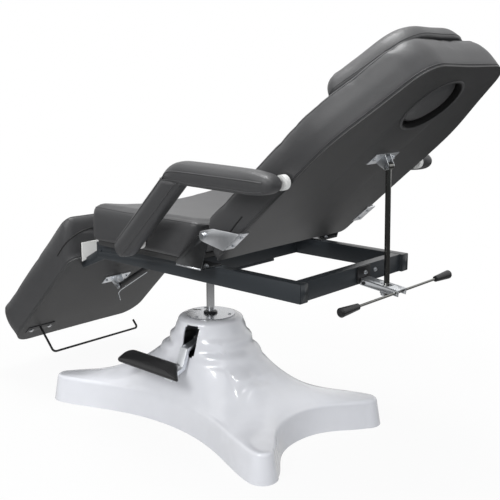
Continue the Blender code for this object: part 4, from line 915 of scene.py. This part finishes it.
def rear_panel(name, outlines, face_z, at, body):
    """A flat covered panel with slightly rounded edges on a pad's rear face."""
    curve = bpy.data.curves.new(name, "CURVE")
    curve.dimensions = "2D"
    curve.fill_mode = "BOTH"
    curve.extrude = PANEL_THICKNESS / 2 - PANEL_ROUND
    curve.bevel_depth = PANEL_ROUND
    curve.bevel_resolution = 2
    for outline in outlines:
        spline = curve.splines.new("POLY")
        spline.points.add(len(outline) - 1)
        shrink = PANEL_ROUND if outline is outlines[0] else -PANEL_ROUND
        for spot, (x, y) in zip(spline.points, inset(outline, shrink)):
            spot.co = (x, y, 0, 1)
        spline.use_cyclic_u = True
    holder = bpy.data.objects.new(name + "_outline", curve)
    bpy.context.scene.collection.objects.link(holder)
    graph = bpy.context.evaluated_depsgraph_get()
    mesh = bpy.data.meshes.new_from_object(holder.evaluated_get(graph), depsgraph=graph)
    bpy.data.objects.remove(holder)
    bm = bmesh.new()
    bm.from_mesh(mesh)
    bmesh.ops.remove_doubles(bm, verts=bm.verts, dist=1e-6)
    mesh = to_mesh(bm, name)
    mesh.set_sharp_from_angle(angle=math.radians(50))
    mesh.transform(at @ Matrix.Translation((0, 0, face_z + PANEL_THICKNESS / 2 - PANEL_PROUD)))
    return ridden(link_piece(name, mesh, FINISH["covered_board"]), body)


def sewn(name, path, body):
    """A closed seam: a fine welt with a row of stitches beside it."""
    piped(name + "_seam", [path], SEAM_RADIUS, body)
    middle = sum((Vector(point) for point in path), Vector()) / len(path)
    inner = [Vector(point).lerp(middle, SEAM_TO_STITCHES / (Vector(point) - middle).length) for point in path]
    stitched(name + "_stitches", [inner], body)


def make_plug():
    low = BACK_REAR + PLUG_RECESS
    height = BACK_REAR + BOARD + FIT_GAP + BACK_THICKNESS - low
    outline = hole_outline(-PLUG_GAP, 64)
    rings = []
    for scale, rise in (*PLUG_LEVELS, (1.0, height)):
        rings.append([(HOLE_X + (x - HOLE_X) * scale, y * scale, low + rise) for x, y in outline])
    bm = loft(rings, (HOLE_X, 0, low - PLUG_BULGE), (HOLE_X, 0, low + height))
    plug = link_piece("face_plug_pad", to_mesh(bm, "plug"), FINISH["leather"])
    stuffed(plug, FINE_VOXEL, PLUG_SWELL, low + height, -HOLD_HEIGHT)
    placed(plug, BACK_AT)
    ridden(plug, "backrest", ["face_hole_plug"])


def make_pillow():
    """Head pillow on the back's crown, thicker towards the head end."""
    corners = mirrored_corners(*PILLOW_X, *PILLOW_HALF)
    outline = rounded(corners, PILLOW_RADII)
    low = BACK_REAR + BOARD + FIT_GAP + BACK_THICKNESS + BACK_CROWN * PILLOW_REST - PILLOW_SINK

    def shape(x, y, z):
        share = clamped((x - PILLOW_X[0]) / PILLOW_WEDGE_RUN)
        return x, y, low + (z - low) * (PILLOW_WEDGE + (1 - PILLOW_WEDGE) * share)

    pillow = pad("pillow_pad", outline, corners, low, PILLOW_THICKNESS, PILLOW_DOME, shape, PILLOW_SWELL,
                 PILLOW_SIDE, FINE_VOXEL)
    placed(pillow, BACK_AT)
    ridden(pillow, "backrest", ["head_pillow"])
    seam_z = low + PILLOW_SEAM[1] * PILLOW_THICKNESS
    path = [BACK_AT @ Vector((x, y, seam_z)) for x, y in inset(filled_in(outline), PILLOW_SEAM[0])]
    sewn("pillow_edge", laid_on(surface_of(pillow), path), "backrest")


def make_leg_rest():
    corners = mirrored_corners(*LEG_X, LEG_HALF_WIDTH, LEG_HALF_WIDTH)
    outline = rounded(corners, LEG_RADII, 14)

    def shape(x, y, z):
        share = clamped((z - LEG_UNDER - BOARD) / LEG_THICKNESS)
        near_top = clamped(1 + (x - LEG_X[1]) / SLANT_RUN)
        return x + LEG_OVERHANG * share * near_top, y, z

    total = BOARD + FIT_GAP + LEG_THICKNESS
    leg = pad("leg_pad", outline, corners, LEG_UNDER, total, LEG_CROWN, shape, BOARDED_SWELL)
    placed(leg, LEG_AT)
    ridden(leg, "leg_rest", ["leg_cushion", "leg_board"])
    surface = surface_of(leg)
    edge = inset(drawn_in(filled_in(outline), corners), PANEL_INSET)
    rear_panel("leg_rear_panel", [edge], LEG_UNDER, LEG_AT, "leg_rest")
    welt = [LEG_AT @ Vector((x, y, LEG_UNDER + WELT_RISE)) for x, y in edge]
    piped("leg_welt", [laid_on(surface, welt)], LEG_WELT, "leg_rest")
    radius, sunk = LEG_SLIT_SIZE
    route = list(LEG_SLIT) + [(x, -y, z) for x, y, z in reversed(LEG_SLIT[:-1])]
    slit = laid_on(surface, [LEG_AT @ Vector(point) for point in route], -sunk)
    # The slit is a near-black tube sunk into the cover, painting the shade inside the opening
    piped("leg_end_slit", [slit], radius, "leg_rest", SHADOW_GAP, closed=False)
    top = LEG_UNDER + total
    top_edge = [LEG_AT @ Vector(shape(x, y, top)) for x, y in inset(filled_in(outline), EDGE_INSET)]
    sewn("leg_edge", laid_on(surface, top_edge), "leg_rest")


# Armrests

def arm_path():
    """Even points along the middle of the arm, from the foot of its post to its rear end."""
    foot, elbow, rear = Vector(ARM_FOOT), Vector(ARM_ELBOW), Vector(ARM_REAR)
    down = (foot - elbow).normalized()
    aft = (rear - elbow).normalized()
    half = down.angle(aft) / 2
    reach = ARM_BEND / math.tan(half)
    middle = elbow + (down + aft).normalized() * (ARM_BEND / math.sin(half))
    spoke = elbow + down * reach - middle
    sweep = spoke.angle_signed(elbow + aft * reach - middle)
    bend = [middle + Matrix.Rotation(-sweep * k / ARM_BEND_STEPS, 2) @ spoke for k in range(ARM_BEND_STEPS + 1)]
    rough = [foot + down * ARM_FOOT_REACH] + bend + [rear + aft * ARM_END_REACH]
    path = []
    for first, second in zip(rough, rough[1:]):
        pieces = max(1, round((second - first).length / ARM_STEP))
        path += [first.lerp(second, k / pieces) for k in range(pieces)]
    return path + [rough[-1]]


def arm_section(steps=36):
    """Across and up of the arm's section: flat underside, full sides, crowned top."""
    section = []
    for k in range(steps):
        turn = 2 * math.pi * k / steps
        across, up = math.cos(turn), math.sin(turn)
        power = ARM_TOP_POWER if up > 0 else ARM_UNDER_POWER
        side = math.copysign(abs(across) ** ARM_SIDE_POWER, across)
        section.append((side, math.copysign(abs(up) ** power, up)))
    return section


def arm_frames():
    """(spot, up, swell) along the arm's path."""
    path = arm_path()
    run = [0.0]
    for first, second in zip(path, path[1:]):
        run.append(run[-1] + (second - first).length)
    frames = []
    for i, spot in enumerate(path):
        ahead = (path[min(i + 1, len(path) - 1)] - path[max(i - 1, 0)]).normalized()
        share = min(1.0, min(run[i], run[-1] - run[i]) / ARM_DOME)
        to_rear = min(1.0, (run[-1] - run[i]) / ARM_TAPER)
        dome = (1 - (1 - share) ** ARM_DOME_POWER) ** (1 / ARM_DOME_POWER)
        swell = max(ARM_LEAST_SWELL, dome) * (1 - ARM_TAPER_DEPTH * (1 - to_rear) ** 2)
        frames.append((spot, Vector((-ahead.y, ahead.x)), swell))
    return frames


def gap_to(spot, path):
    """The least distance from a flat point to a path."""
    gaps = []
    for first, second in zip(path, path[1:]):
        share = geometry.intersect_point_line(spot, first, second)[1]
        gaps.append((spot - first.lerp(second, clamped(share))).length)
    return min(gaps)


def creased(arm, centre_y):
    """The cover drawn into a fold across both faces of the elbow."""
    fold = [Vector(point) for point in ARM_CREASE]
    for vert in arm.data.vertices:
        gap = gap_to(Vector((vert.co.x, vert.co.z)), fold)
        vert.co.y += (centre_y - vert.co.y) * FOLD_SHARE * math.exp(-(gap / FOLD_WIDTH) ** 2)
    arm.data.update()


def arm_pipes(surface, frames, y):
    """Piping on one face of an arm: along its upper edge, its lower edge and its fold."""
    half = ARM_HEIGHT / 2
    upper, lower = [], []
    for spot, up, swell in frames[PIPE_SKIP:-PIPE_SKIP]:
        level = clamped((up.y - LEVEL_FROM) / LEVEL_RUN)
        high = spot + up * (half * swell * (PIPE_HIGH - PIPE_DIP * level))
        deep = spot - up * (half * swell * PIPE_LOW)
        upper.append((high.x, y, high.y))
        lower.append((deep.x, y, deep.y))
    crease = [(x, y, z) for x, z in ARM_CREASE]
    return [laid_on(surface, path) for path in (upper, lower, crease)]


def make_arms():
    section = arm_section()
    frames = arm_frames()
    half_y, half = ARM_WIDTH / 2, ARM_HEIGHT / 2
    centre_y = ARM_INNER_Y + half_y
    for side_name, side in SIDES:
        body = "armrest_" + side_name
        rings = []
        for spot, up, swell in frames:
            ring = []
            for across, rise in section:
                flat = spot + up * (rise * half * swell)
                ring.append((flat.x, side * (centre_y + across * half_y * swell ** 0.5), flat.y))
            rings.append(ring)
        ends = [(spot.x, side * centre_y, spot.y) for spot, up, swell in (frames[0], frames[-1])]
        arm = link_piece("arm_pad_" + side_name, to_mesh(loft(rings, *ends), "arm"), FINISH["leather"])
        stuffed(arm, FINE_VOXEL, ARM_SWELL, 0.0, HOLD_HEIGHT)
        ridden(arm, body, [body])
        creased(arm, side * centre_y)
        surface = surface_of(arm)
        pipes = []
        for face in (-1, 1):
            pipes += arm_pipes(surface, frames, side * (centre_y + face * half_y * 0.99))
        piped("arm_piping_" + side_name, pipes, PIPE_RADIUS, body, closed=False)
        row = [point - Vector((0, 0, STITCH_DROP)) for point in pipes[0]]
        stitched("arm_stitches_" + side_name, [row], body, closed=False)


# Base

def bezier(start, lead, trail, end, steps):
    """Points of a cubic curve, without its last one."""
    points = []
    for k in range(steps):
        t = k / steps
        terms = ((1 - t) ** 3, 3 * t * (1 - t) ** 2, 3 * t * t * (1 - t), t ** 3)
        points.append(tuple(sum(w * p[i] for w, p in zip(terms, (start, lead, trail, end))) for i in (0, 1)))
    return points


def base_plan():
    """The lobed plan of the base, counter-clockwise, built from one quarter."""
    tip_x, tip_y = BASE_TIP
    neck = (tip_x - TIP_ROUND * 0.5, tip_y - TIP_ROUND * 1.3)
    heel = (tip_x - TIP_ROUND * 1.8, tip_y + TIP_ROUND * 0.5)
    quarter = bezier((NOTCH_X, 0), (NOTCH_X, tip_y * 0.45), (neck[0] - 0.03, neck[1] - 0.06), neck, 20)
    quarter += bezier(neck, (tip_x + 0.012, neck[1] + 0.03), (tip_x - 0.008, tip_y + 0.042), heel, 22)
    quarter += bezier(heel, (heel[0] - 0.10, heel[1] - 0.025), (tip_x * 0.4, WAIST_Y), (0, WAIST_Y), 36)
    upper = quarter + [(0, WAIST_Y)] + [(-x, y) for x, y in reversed(quarter)]
    return upper + [(x, -y) for x, y in reversed(upper[1:-1])]


def tiered(x, y, z):
    """A point of the flank, stepped in soft tiers below the neck and a little uneven, away from the pedal."""
    spot = Vector((x, y, z))
    turn = math.atan2(y, x)
    off_pedal = clamped(abs(math.sin((turn + math.pi / 2) / 2)) * PEDAL_CLEAR[0] - PEDAL_CLEAR[1])
    span = (z - TIER_Z[0]) / (TIER_Z[1] - TIER_Z[0])
    window = math.sin(math.pi * span) ** 0.7 if 0 < span < 1 else 0.0
    lobe = 1 - TIER_LOBES * (1 + math.cos(4 * turn))
    push = TIER_DEPTH * window * lobe * off_pedal * math.sin(2 * math.pi * (z - TIER_START) / TIER_PITCH)
    flank = clamped((z - FLANK_Z[0]) / FLANK_EASE) * clamped((FLANK_Z[1] - z) / FLANK_EASE)
    push += DENT_DEPTH * flank * off_pedal * noise.noise(Vector((x, y, z * 0.6)) * DENT_SCALE)
    near_swirl = max(0.0, 1 - (spot - Vector(SWIRL_AT)).length / SWIRL_REACH)
    warp = noise.noise_vector(spot * SWIRL_SCALE * 0.5) * SWIRL_WARP
    push += SWIRL_DEPTH * near_swirl ** 0.8 * flank * noise.noise((spot + warp) * SWIRL_SCALE)
    stretch = 1 + push / math.hypot(x, y)
    return x * stretch, y * stretch, z + push * 0.5


def blended(rings, first, last):
    """Rings relaxed towards their neighbours, so that lobes and bell run into each other.

    The rim keeps its edge at the lobes and at both ends and melts into the flank at the two waists.
    """
    grid = np.array(rings)
    plan = grid[0]
    waist = np.clip(1 - np.abs(plan[:, 0]) / WAIST_RUN, 0.0, 1.0) * (np.abs(plan[:, 1]) > 0.1)
    weight = np.zeros(grid.shape[:2])
    weight[first:last] = 1.0
    weight[first - 2:first] = RIM_WEIGHT
    weight[last:last + len(NECK_WEIGHTS)] = np.array(NECK_WEIGHTS)[:, None]
    climb = np.linspace(0.0, 1.0, first - 2)[:, None]
    weight[2:first] = np.maximum(weight[2:first], climb * (waist * waist * (3 - 2 * waist))[None, :])
    for step in range(BLEND_PASSES):
        around = (np.roll(grid, 1, axis=1) + np.roll(grid, -1, axis=1)) / 2
        along = grid.copy()
        along[1:-1] = (grid[2:] + grid[:-2]) / 2
        grid += 0.5 * weight[:, :, None] * ((around + along) / 2 - grid)
    return grid.tolist()


def bell(lip):
    """Height share over the plan, like a skin stretched from the neck (1) to the rim (0)."""
    xs, ys = [np.arange(-half, half, BELL_CELL) for half in BELL_HALF]
    across, along = np.meshgrid(xs, ys, indexing="ij")
    inside = np.zeros(across.shape, bool)
    for (x0, y0), (x1, y1) in zip(lip, lip[1:] + lip[:1]):
        if y0 != y1:
            inside ^= ((y0 > along) != (y1 > along)) & (across < (x1 - x0) * (along - y0) / (y1 - y0) + x0)
    hub = np.hypot(across, along) < NECK_RADIUS
    free = inside & ~hub
    level = hub.astype(float)
    for step in range(BELL_PASSES):
        mean = sum(np.roll(level, shift, axis) for axis in (0, 1) for shift in (1, -1)) / 4
        level[free] = mean[free]

    def share(x, y):
        u, v = (x - xs[0]) / BELL_CELL, (y - ys[0]) / BELL_CELL
        i, j = int(u), int(v)
        u, v = u - i, v - j
        low = level[i, j] * (1 - v) + level[i, j + 1] * v
        high = level[i + 1, j] * (1 - v) + level[i + 1, j + 1] * v
        return low * (1 - u) + high * u

    return share


def base_rings(plan):
    """Rings of the base's skin: foot, rim, flank, neck, and the top with its mouth."""
    rings = [[(x, y, height) for x, y in inset(plan, step)] for step, height in FOOT_LEVELS]
    rim = RIM_HEIGHT - RIM_ROUND
    rings += [[(x, y, rim * share) for x, y in inset(plan, RIM_DRAFT * share)] for share in RIM_SHARES]
    for k in range(1, RIM_STEPS + 1):
        turn = math.pi / 2 * k / RIM_STEPS
        step = RIM_DRAFT + RIM_LIP * (1 - math.cos(turn))
        rings.append([(x, y, rim + RIM_ROUND * math.sin(turn)) for x, y in inset(plan, step)])
    lip = inset(plan, RIM_DRAFT + RIM_LIP)
    share_at = bell(lip)
    for k in range(1, FLANK_STEPS + 1):
        ring = []
        for x, y in lip:
            reach = math.hypot(x, y)
            radius = NECK_RADIUS + (reach - NECK_RADIUS) * (1 - k / FLANK_STEPS) ** FLANK_POWER
            spot = Vector((x, y)) * (radius / reach)
            height = RIM_HEIGHT + (NECK_HEIGHT - RIM_HEIGHT) * share_at(*spot) ** BELL_POWER
            ring.append((*spot, height))
        rings.append(ring)
    flank_end = len(rings) - 2
    shoulder = (TOP_RADIUS + TOP_ROUND * (TOP_SPREAD - 1), BASE_TOP - TOP_ROUND * TOP_FLATTEN)
    neck = Vector((NECK_RADIUS, NECK_HEIGHT))
    crown = [tuple(neck.lerp(Vector(shoulder), share)) for share in (0.33, 0.66, 1.0)]
    for k in range(1, TOP_STEPS + 1):
        turn = math.pi / 2 * k / TOP_STEPS
        crown.append((TOP_RADIUS - TOP_ROUND + TOP_ROUND * TOP_SPREAD * math.cos(turn),
                      BASE_TOP - TOP_ROUND * TOP_FLATTEN * (1 - math.sin(turn))))
    crown.append((MOUTH_RADIUS, BASE_TOP))
    for radius, height in crown:
        rings.append([(*(Vector(point).normalized() * radius), height) for point in lip])
    rings = blended(rings, RIM_RINGS, flank_end)
    return [[tiered(*point) for point in ring] for ring in rings]


def make_base():
    noise.seed_set(RELIEF_SEED)
    cover = link_piece("base_shell", to_mesh(loft(base_rings(base_plan())), "base"), FINISH["white_shell"])
    modified(cover, "SOLIDIFY", thickness=BASE_SKIN, offset=-1, use_even_offset=True)
    slot = block(*zip(SLOT_X, SLOT_Y, SLOT_Z))
    through = [edge for edge in slot.edges if abs((edge.verts[0].co - edge.verts[1].co).y) > SLOT_CORNER]
    bmesh.ops.bevel(slot, geom=through, offset=SLOT_CORNER, segments=4, affect="EDGES")
    cut_by(cover, slot)
    cover.data.set_sharp_from_angle(angle=math.radians(40))
    ridden(cover, "base", ["base_cover"])


# Hard pieces with eased edges

BODY_OF = {node: body for body, members in frame["record"]["behaviour"]["bodies"].items() for node in members}
SLOT_OF = {node: item.material_slots[0].material.name.split(".")[0] for node, item in NODES.items()}
SLOT_OF.update(leg_hinge_arm_near="frame_paint", leg_hinge_arm_far="frame_paint")

# Nodes whose finish isn't their slot's; the darkened plated metals paint the dark reflections these parts show
NODE_FINISH = {
    "strut_rod": CHROME_DARKENED_FOR_REFLECTIONS,
    "release_bar": CHROME_DARKENED_FOR_REFLECTIONS,
    "hinge_bracket_near": PLATING_DARKENED_FOR_REFLECTIONS,
    "hinge_bracket_far": PLATING_DARKENED_FOR_REFLECTIONS,
    "back_hinge_plate_near": SATIN_PLATING,
    "back_hinge_plate_far": SATIN_PLATING,
}


def finish_of(node):
    return NODE_FINISH.get(node, FINISH[SLOT_OF[node]])


def dress_nodes():
    for node, item in NODES.items():
        for place in item.material_slots:
            place.material = finish_of(node)


def eased_copy(node, width):
    """A node's shape with its edges slightly rounded, in the node's place."""
    bm = bmesh.new()
    bm.from_mesh(NODES[node].data)
    bmesh.ops.remove_doubles(bm, verts=bm.verts, dist=1e-6)
    bmesh.ops.dissolve_limit(bm, angle_limit=math.radians(1.0), verts=bm.verts, edges=bm.edges)
    mesh = bpy.data.meshes.new(node + "_eased")
    bm.to_mesh(mesh)
    bm.free()
    piece = link_piece(node + "_eased", mesh, finish_of(node))
    modified(piece, "BEVEL", width=width, segments=2, limit_method="ANGLE",
             angle_limit=math.radians(35), use_clamp_overlap=True, harden_normals=True)
    mesh.shade_smooth()
    ridden(plain(piece), BODY_OF[node], [node])


def ease_edges():
    for width, nodes in EDGE_WIDTHS.items():
        for node in nodes:
            eased_copy(node, width)


# Small fittings

def box_in(node, at):
    """Lowest and highest corner of a node in the frame of a pad."""
    spots = [at.inverted() @ vert.co for vert in NODES[node].data.vertices]
    return [Vector([pick(spot[i] for spot in spots) for i in range(3)]) for pick in (min, max)]


def block(low, high):
    bm = bmesh.new()
    bmesh.ops.create_cube(bm, size=1.0)
    for vert in bm.verts:
        vert.co = [low[i] + (high[i] - low[i]) * (vert.co[i] + 0.5) for i in range(3)]
    return bm


def rounded_block(name, low, high, bevel, finish):
    bm = block(low, high)
    bmesh.ops.bevel(bm, geom=list(bm.edges), offset=bevel, segments=3, affect="EDGES")
    return link_piece(name, to_mesh(bm, name), finish)


def prism(name, outline, heights, bevel, finish, at):
    bm = bmesh.new()
    low, high = heights
    floor_face = bm.faces.new([bm.verts.new((*point, low)) for point in outline])
    raised = bmesh.ops.extrude_face_region(bm, geom=[floor_face])["geom"]
    for item in raised:
        if isinstance(item, bmesh.types.BMVert):
            item.co.z = high
    bmesh.ops.bevel(bm, geom=list(bm.edges), offset=bevel, segments=2, affect="EDGES")
    mesh = to_mesh(bm, name)
    mesh.set_sharp_from_angle(angle=math.radians(50))
    mesh.transform(at)
    return link_piece(name, mesh, finish)


def make_hinge_foot_highlights():
    """Bright strips at the feet of the hinge brackets, painting the highlight along their lower edges."""
    for side_name, side in SIDES:
        node = "hinge_bracket_" + side_name
        low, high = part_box(node)
        face = high.y if side > 0 else low.y
        run = [vert.co.x for vert in NODES[node].data.vertices
               if abs(vert.co.y - face) < FOOT_HIGHLIGHT_REACH and vert.co.z < low.z + FOOT_HIGHLIGHT_HEIGHT]
        first, last = sorted((face - side * FOOT_HIGHLIGHT_REACH, face + side * FOOT_HIGHLIGHT_REACH))
        # A bright plated strip standing proud of the bracket's face: a painted highlight
        lip = rounded_block("hinge_foot_highlight_" + side_name, (min(run) + FOOT_HIGHLIGHT_REACH, first, low.z),
                            (max(run) - FOOT_HIGHLIGHT_REACH, last, low.z + FOOT_HIGHLIGHT_HEIGHT), FOOT_HIGHLIGHT_REACH / 2, SATIN_PLATING)
        ridden(lip, "frame")


def make_end_caps():
    """Plugs in the open ends of the side rails."""
    inset_y_z = Vector((0, CAP_INSET, CAP_INSET))
    for side_name, side in SIDES:
        low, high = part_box("side_rail_" + side_name)
        for end_name, x, outward in (("front", low.x, -1), ("rear", high.x, 1)):
            first, last = sorted((x + outward * CAP_GAP, x + outward * CAP_LIP))
            near = Vector((first, low.y, low.z)) + inset_y_z
            far = Vector((last, high.y, high.z)) - inset_y_z
            name = "rail_cap_" + side_name + "_" + end_name
            ridden(rounded_block(name, near, far, CAP_ROUND, FINISH["frame_paint"]), "frame")


def downwards(at):
    """Away from the rear face of a pad."""
    return at.to_3x3() @ Vector((0, 0, -1))


def on_underside(node, at, face_z):
    """(point, facing) pairs near both ends of a bracket's foot."""
    low, high = box_in(node, at)
    middle = (low + high) / 2
    reach = (high.y - low.y) / 2 - BRACKET_BOLT_END
    return [(at @ Vector((middle.x, middle.y + y, face_z)), downwards(at)) for y in (-reach, reach)]


def fasten_pads():
    """Bolts and screws under the back and the leg rest."""
    bracket_bolt = {"Across": 0.009, "Height": 0.005, "Washer": 0.012}
    spots = on_underside("strut_bracket", BACK_AT, BACK_REAR - BRACKET_SHEET)
    bolted("strut_bracket_bolts", spots, "backrest", "zinc", **bracket_bolt)
    spots = on_underside("leg_strut_bracket", LEG_AT, LEG_UNDER - BRACKET_SHEET)
    bolted("leg_bracket_bolts", spots, "leg_rest", "zinc", **bracket_bolt)
    low, high = box_in("roll_bar_plate", LEG_AT)
    x = (low.x + high.x) / 2 - ROLL_SCREW_OFFSET
    across = [low.y + share * (high.y - low.y) for share in ROLL_SCREW_SHARES]
    spots = [(LEG_AT @ Vector((x, y, low.z)), downwards(LEG_AT)) for y in across]
    bolted("roll_bar_screws", spots, "leg_rest", "chrome", Across=0.013, Height=0.004, Washer=0.016, Sides=16)


def fasten_hinges():
    """Screws in the wings of the back hinges and bolts in the feet of their brackets."""
    wings, feet = [], []
    for side_name, side in SIDES:
        low, high = box_in("back_hinge_plate_" + side_name, BACK_AT)
        y = side * (PAD_HALF_WIDTH - WING_SCREW_IN)
        wings += [(BACK_AT @ Vector((x, y, low.z)), downwards(BACK_AT)) for x in WING_SCREW_X]
        low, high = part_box("hinge_bracket_" + side_name)
        feet += [((x, side * FOOT_BOLT_Y, low.z + FOOT_SHEET), (0, 0, 1)) for x in FOOT_BOLT_X]
    bolted("hinge_wing_screws", wings, "backrest", "zinc", Across=0.010, Height=0.004, Washer=0.013, Sides=16)
    bolted("hinge_foot_bolts", feet, "frame", "zinc", Across=0.009, Height=0.005, Washer=0.014)


def fasten_column():
    """Bolts under the mount plate, screws of the top disc with a dark patch painting the shade of its key slot,
    bolts of the lock block.
    """
    low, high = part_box("mount_plate")
    places = (-MOUNT_BOLT, MOUNT_BOLT)
    spots = [((x, y, low.z), (0, 0, -1)) for x in places for y in places]
    bolted("mount_plate_bolts", spots, "frame", "zinc", Across=0.013, Height=0.007, Washer=0.020)
    low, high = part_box("top_disc")
    turns = [math.radians(turn) for turn in DISC_SCREW_TURNS]
    spots = [((DISC_SCREW_RADIUS * math.cos(turn), DISC_SCREW_RADIUS * math.sin(turn), high.z), (0, 0, 1))
             for turn in turns]
    bolted("top_disc_screws", spots, "base", "grey_steel", Across=0.008, Height=0.0026, Washer=0.010, Sides=16)
    # The key slot is a thin near-black patch on the disc, painting the shade inside the slot
    heights = [high.z + rise for rise in KEY_SLOT_HEIGHTS]
    mark = prism("disc_key_slot_painted_shade", KEY_SLOT, heights, KEY_SLOT_ROUND, SHADOW_GAP, Matrix())
    ridden(mark, "base")
    low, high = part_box("lock_block")
    middle_y = (low.y + high.y) / 2
    spots = [((high.x, middle_y + y, high.z - LOCK_BOLT_DROP), (1, 0, 0)) for y in (-LOCK_BOLT_Y, LOCK_BOLT_Y)]
    bolted("lock_block_bolts", spots, "frame", "zinc", Across=0.008, Height=0.005, Washer=0.012)


def make_shoe():
    """Glossy pedal shoe: rounded at its outer end, slanted at its inner end, crowned on top."""
    pivot = Vector(JOINTS["pedal_lift"]["pos_m"])
    front, back = Vector((0, *SHOE_FRONT)), Vector((0, *SHOE_BACK))
    slope = (back - front).normalized()
    up = Vector((1, 0, 0)).cross(slope)
    depth = (back - front).length
    corners = [(SHOE_FRONT_X[0], 0), (SHOE_FRONT_X[1], 0), (SHOE_BACK_X[1], depth), (SHOE_BACK_X[0], depth)]
    outline = filled_in(rounded(corners, SHOE_RADII, 6), 0.012)

    def shape(x, run, rise):
        return Vector((x, pivot.y, pivot.z)) + front + slope * run + up * rise

    rings, under, top = pad_rings(outline, SHOE_LEVELS, SHOE_CROWN, shape, SHOE_FULLNESS)
    shoe = link_piece("pedal_shoe_pad", to_mesh(loft(rings, under, top), "shoe"), FINISH["black_plastic"])
    ridden(shoe, "pedal", ["pedal_shoe"])
    studs = [(shape(x, STUD_RUN, SHOE_LEVELS[0][1]), -up) for x in STUD_X]
    bolted("shoe_studs", studs, "pedal", "black_plastic", Across=0.004, Height=0.008, Washer=0.007)


def make_rod_nut():
    """Hexagon nut with a washer near the foot of the back strut."""
    head = Vector(JOINTS["strut_swing"]["pos_m"])
    lowest = min((vert.co for vert in NODES["strut_rod"].data.vertices), key=lambda spot: spot.z)
    foot = Vector((lowest.x, head.y, lowest.z))
    down = (foot - head).normalized()
    spots = [(foot - down * NUT_FROM_FOOT, down)]
    bolted("strut_rod_nut", spots, "back_strut", "zinc", Across=0.022, Height=0.008, Washer=0.024)


def make_leg_leaves():
    """White leaves of the leg rest's hinge on the upper end of its pad."""
    slope = Vector((LEG_OVERHANG, 0, LEG_THICKNESS)).normalized()
    across = Vector((0, 1, 0))
    turned = Matrix((slope, across, across.cross(slope))).transposed().to_4x4()
    leaf_at = LEG_AT @ Matrix.Translation((LEG_X[1], 0, LEG_UNDER + BOARD)) @ turned
    for side_name, side in SIDES:
        outline = [(u, side * v) for u, v in LEAF_OUTLINE]
        leaf = prism("leg_hinge_leaf_" + side_name, outline, LEAF_HEIGHTS, LEAF_ROUND, FINISH["nylon"], leaf_at)
        ridden(leaf, "leg_rest")


# Stage, light and camera

def make_stage():
    """Pale floor, white to the camera but for the couch's shadow, and glowing to mirrors in a painted pool of
    light round the couch.
    """
    bm = bmesh.new()
    bmesh.ops.create_grid(bm, x_segments=1, y_segments=1, size=6.0)
    floor = Finish("pale_floor", Roughness=0.9)
    floor.tint(floor.noise(40.0, 2.0), (0.56, 0.56, 0.56), (0.60, 0.60, 0.60))
    camera, mirrored = floor.rays()
    reach = floor.node("ShaderNodeVectorMath", {"operation": "LENGTH"}, {0: floor.coords}, output="Value")
    far = floor.eased(reach, 0.7, 1.6)
    # Painted light: the floor glows to glossy rays, most within reach of the couch
    pool = 1 - floor.eased(reach, 0.7, 2.0)
    strength = camera + mirrored * (0.08 + pool * 0.5)
    glow = floor.node("ShaderNodeEmission", {}, {"Color": (1, 1, 1, 1), "Strength": strength})
    lit = Term(floor, floor.shader.outputs["BSDF"])
    whitened = camera * (0.94 + far * 0.06) + mirrored
    mixed = floor.node("ShaderNodeMixShader", {}, {0: whitened, 1: lit, 2: glow})
    output = floor.tree.nodes["Material Output"]
    floor.tree.links.new(mixed.socket, output.inputs["Surface"])
    link_piece("floor", to_mesh(bm, "floor"), floor.material)


def make_world():
    """White backdrop, a fill that is stronger from the window, and a dim side for metal to mirror."""
    world = bpy.data.worlds.new("studio")
    world.use_nodes = True
    bpy.context.scene.world = world
    tree = NodeTree(world.node_tree)
    camera, mirrored = tree.rays()
    heading = tree.node("ShaderNodeTexCoord", output="Generated")
    parts = tree.node("ShaderNodeSeparateXYZ", {}, {"Vector": heading})
    x, y, z = [parts.other(axis) for axis in "XYZ"]
    ceiling = tree.eased(z, 0.20, 0.55)
    backdrop = tree.eased(y * 0.72 - x * 0.69, -0.15, 0.45)
    lit = 1 - (1 - ceiling) * (1 - backdrop)
    near = tree.eased(z * 0.30 - y * 0.62 + x * 0.62, -0.20, 0.85)

    def background(color, strength):
        return tree.node("ShaderNodeBackground", {}, {"Color": (*color, 1), "Strength": strength})

    white = background((1, 1, 1), 1.0)
    fill = background((0.96, 0.975, 1.0), 0.38 + near * 0.68)
    dim = background((0.085, 0.09, 0.095), 1.0)
    studio = tree.node("ShaderNodeMixShader", {}, {0: lit, 1: dim, 2: white})
    reflected = tree.node("ShaderNodeMixShader", {}, {0: mirrored, 1: fill, 2: studio})
    mixed = tree.node("ShaderNodeMixShader", {}, {0: camera, 1: reflected, 2: white})
    output = world.node_tree.nodes["World Output"]
    world.node_tree.links.new(mixed.socket, output.inputs["Surface"])


def lamp(name, spot, aim, size, power):
    light = bpy.data.lights.new(name, "AREA")
    light.shape = "SQUARE"
    light.size = size
    light.energy = power
    holder = bpy.data.objects.new(name, light)
    holder.location = spot
    holder.rotation_euler = (Vector(aim) - Vector(spot)).to_track_quat("-Z", "Y").to_euler()
    bpy.context.scene.collection.objects.link(holder)


def make_camera():
    camera = bpy.data.cameras.new("photo_view")
    camera.sensor_width = SENSOR_WIDTH
    camera.lens = CAMERA_LENS
    holder = bpy.data.objects.new("photo_view", camera)
    holder.location = CAMERA_SPOT
    holder.rotation_euler = [math.radians(turn) for turn in CAMERA_TURN]
    bpy.context.scene.collection.objects.link(holder)
    bpy.context.scene.camera = holder


bpy.context.scene.view_settings.view_transform = "Standard"
make_camera()
make_world()
make_stage()
lamp("overhead_softbox", (-0.05, -0.05, 3.3), (0, 0, 0.4), size=1.0, power=72.0)
lamp("window_softbox", (0.3, -2.8, 2.3), (0.1, 0, 0.5), size=1.1, power=38.0)
dress_nodes()
make_base()
make_seat()
make_back()
make_pillow()
make_leg_rest()
make_arms()
ease_edges()
make_hinge_foot_highlights()
make_end_caps()
fasten_pads()
fasten_hinges()
fasten_column()
make_rod_nut()
make_leg_leaves()
make_shoe()
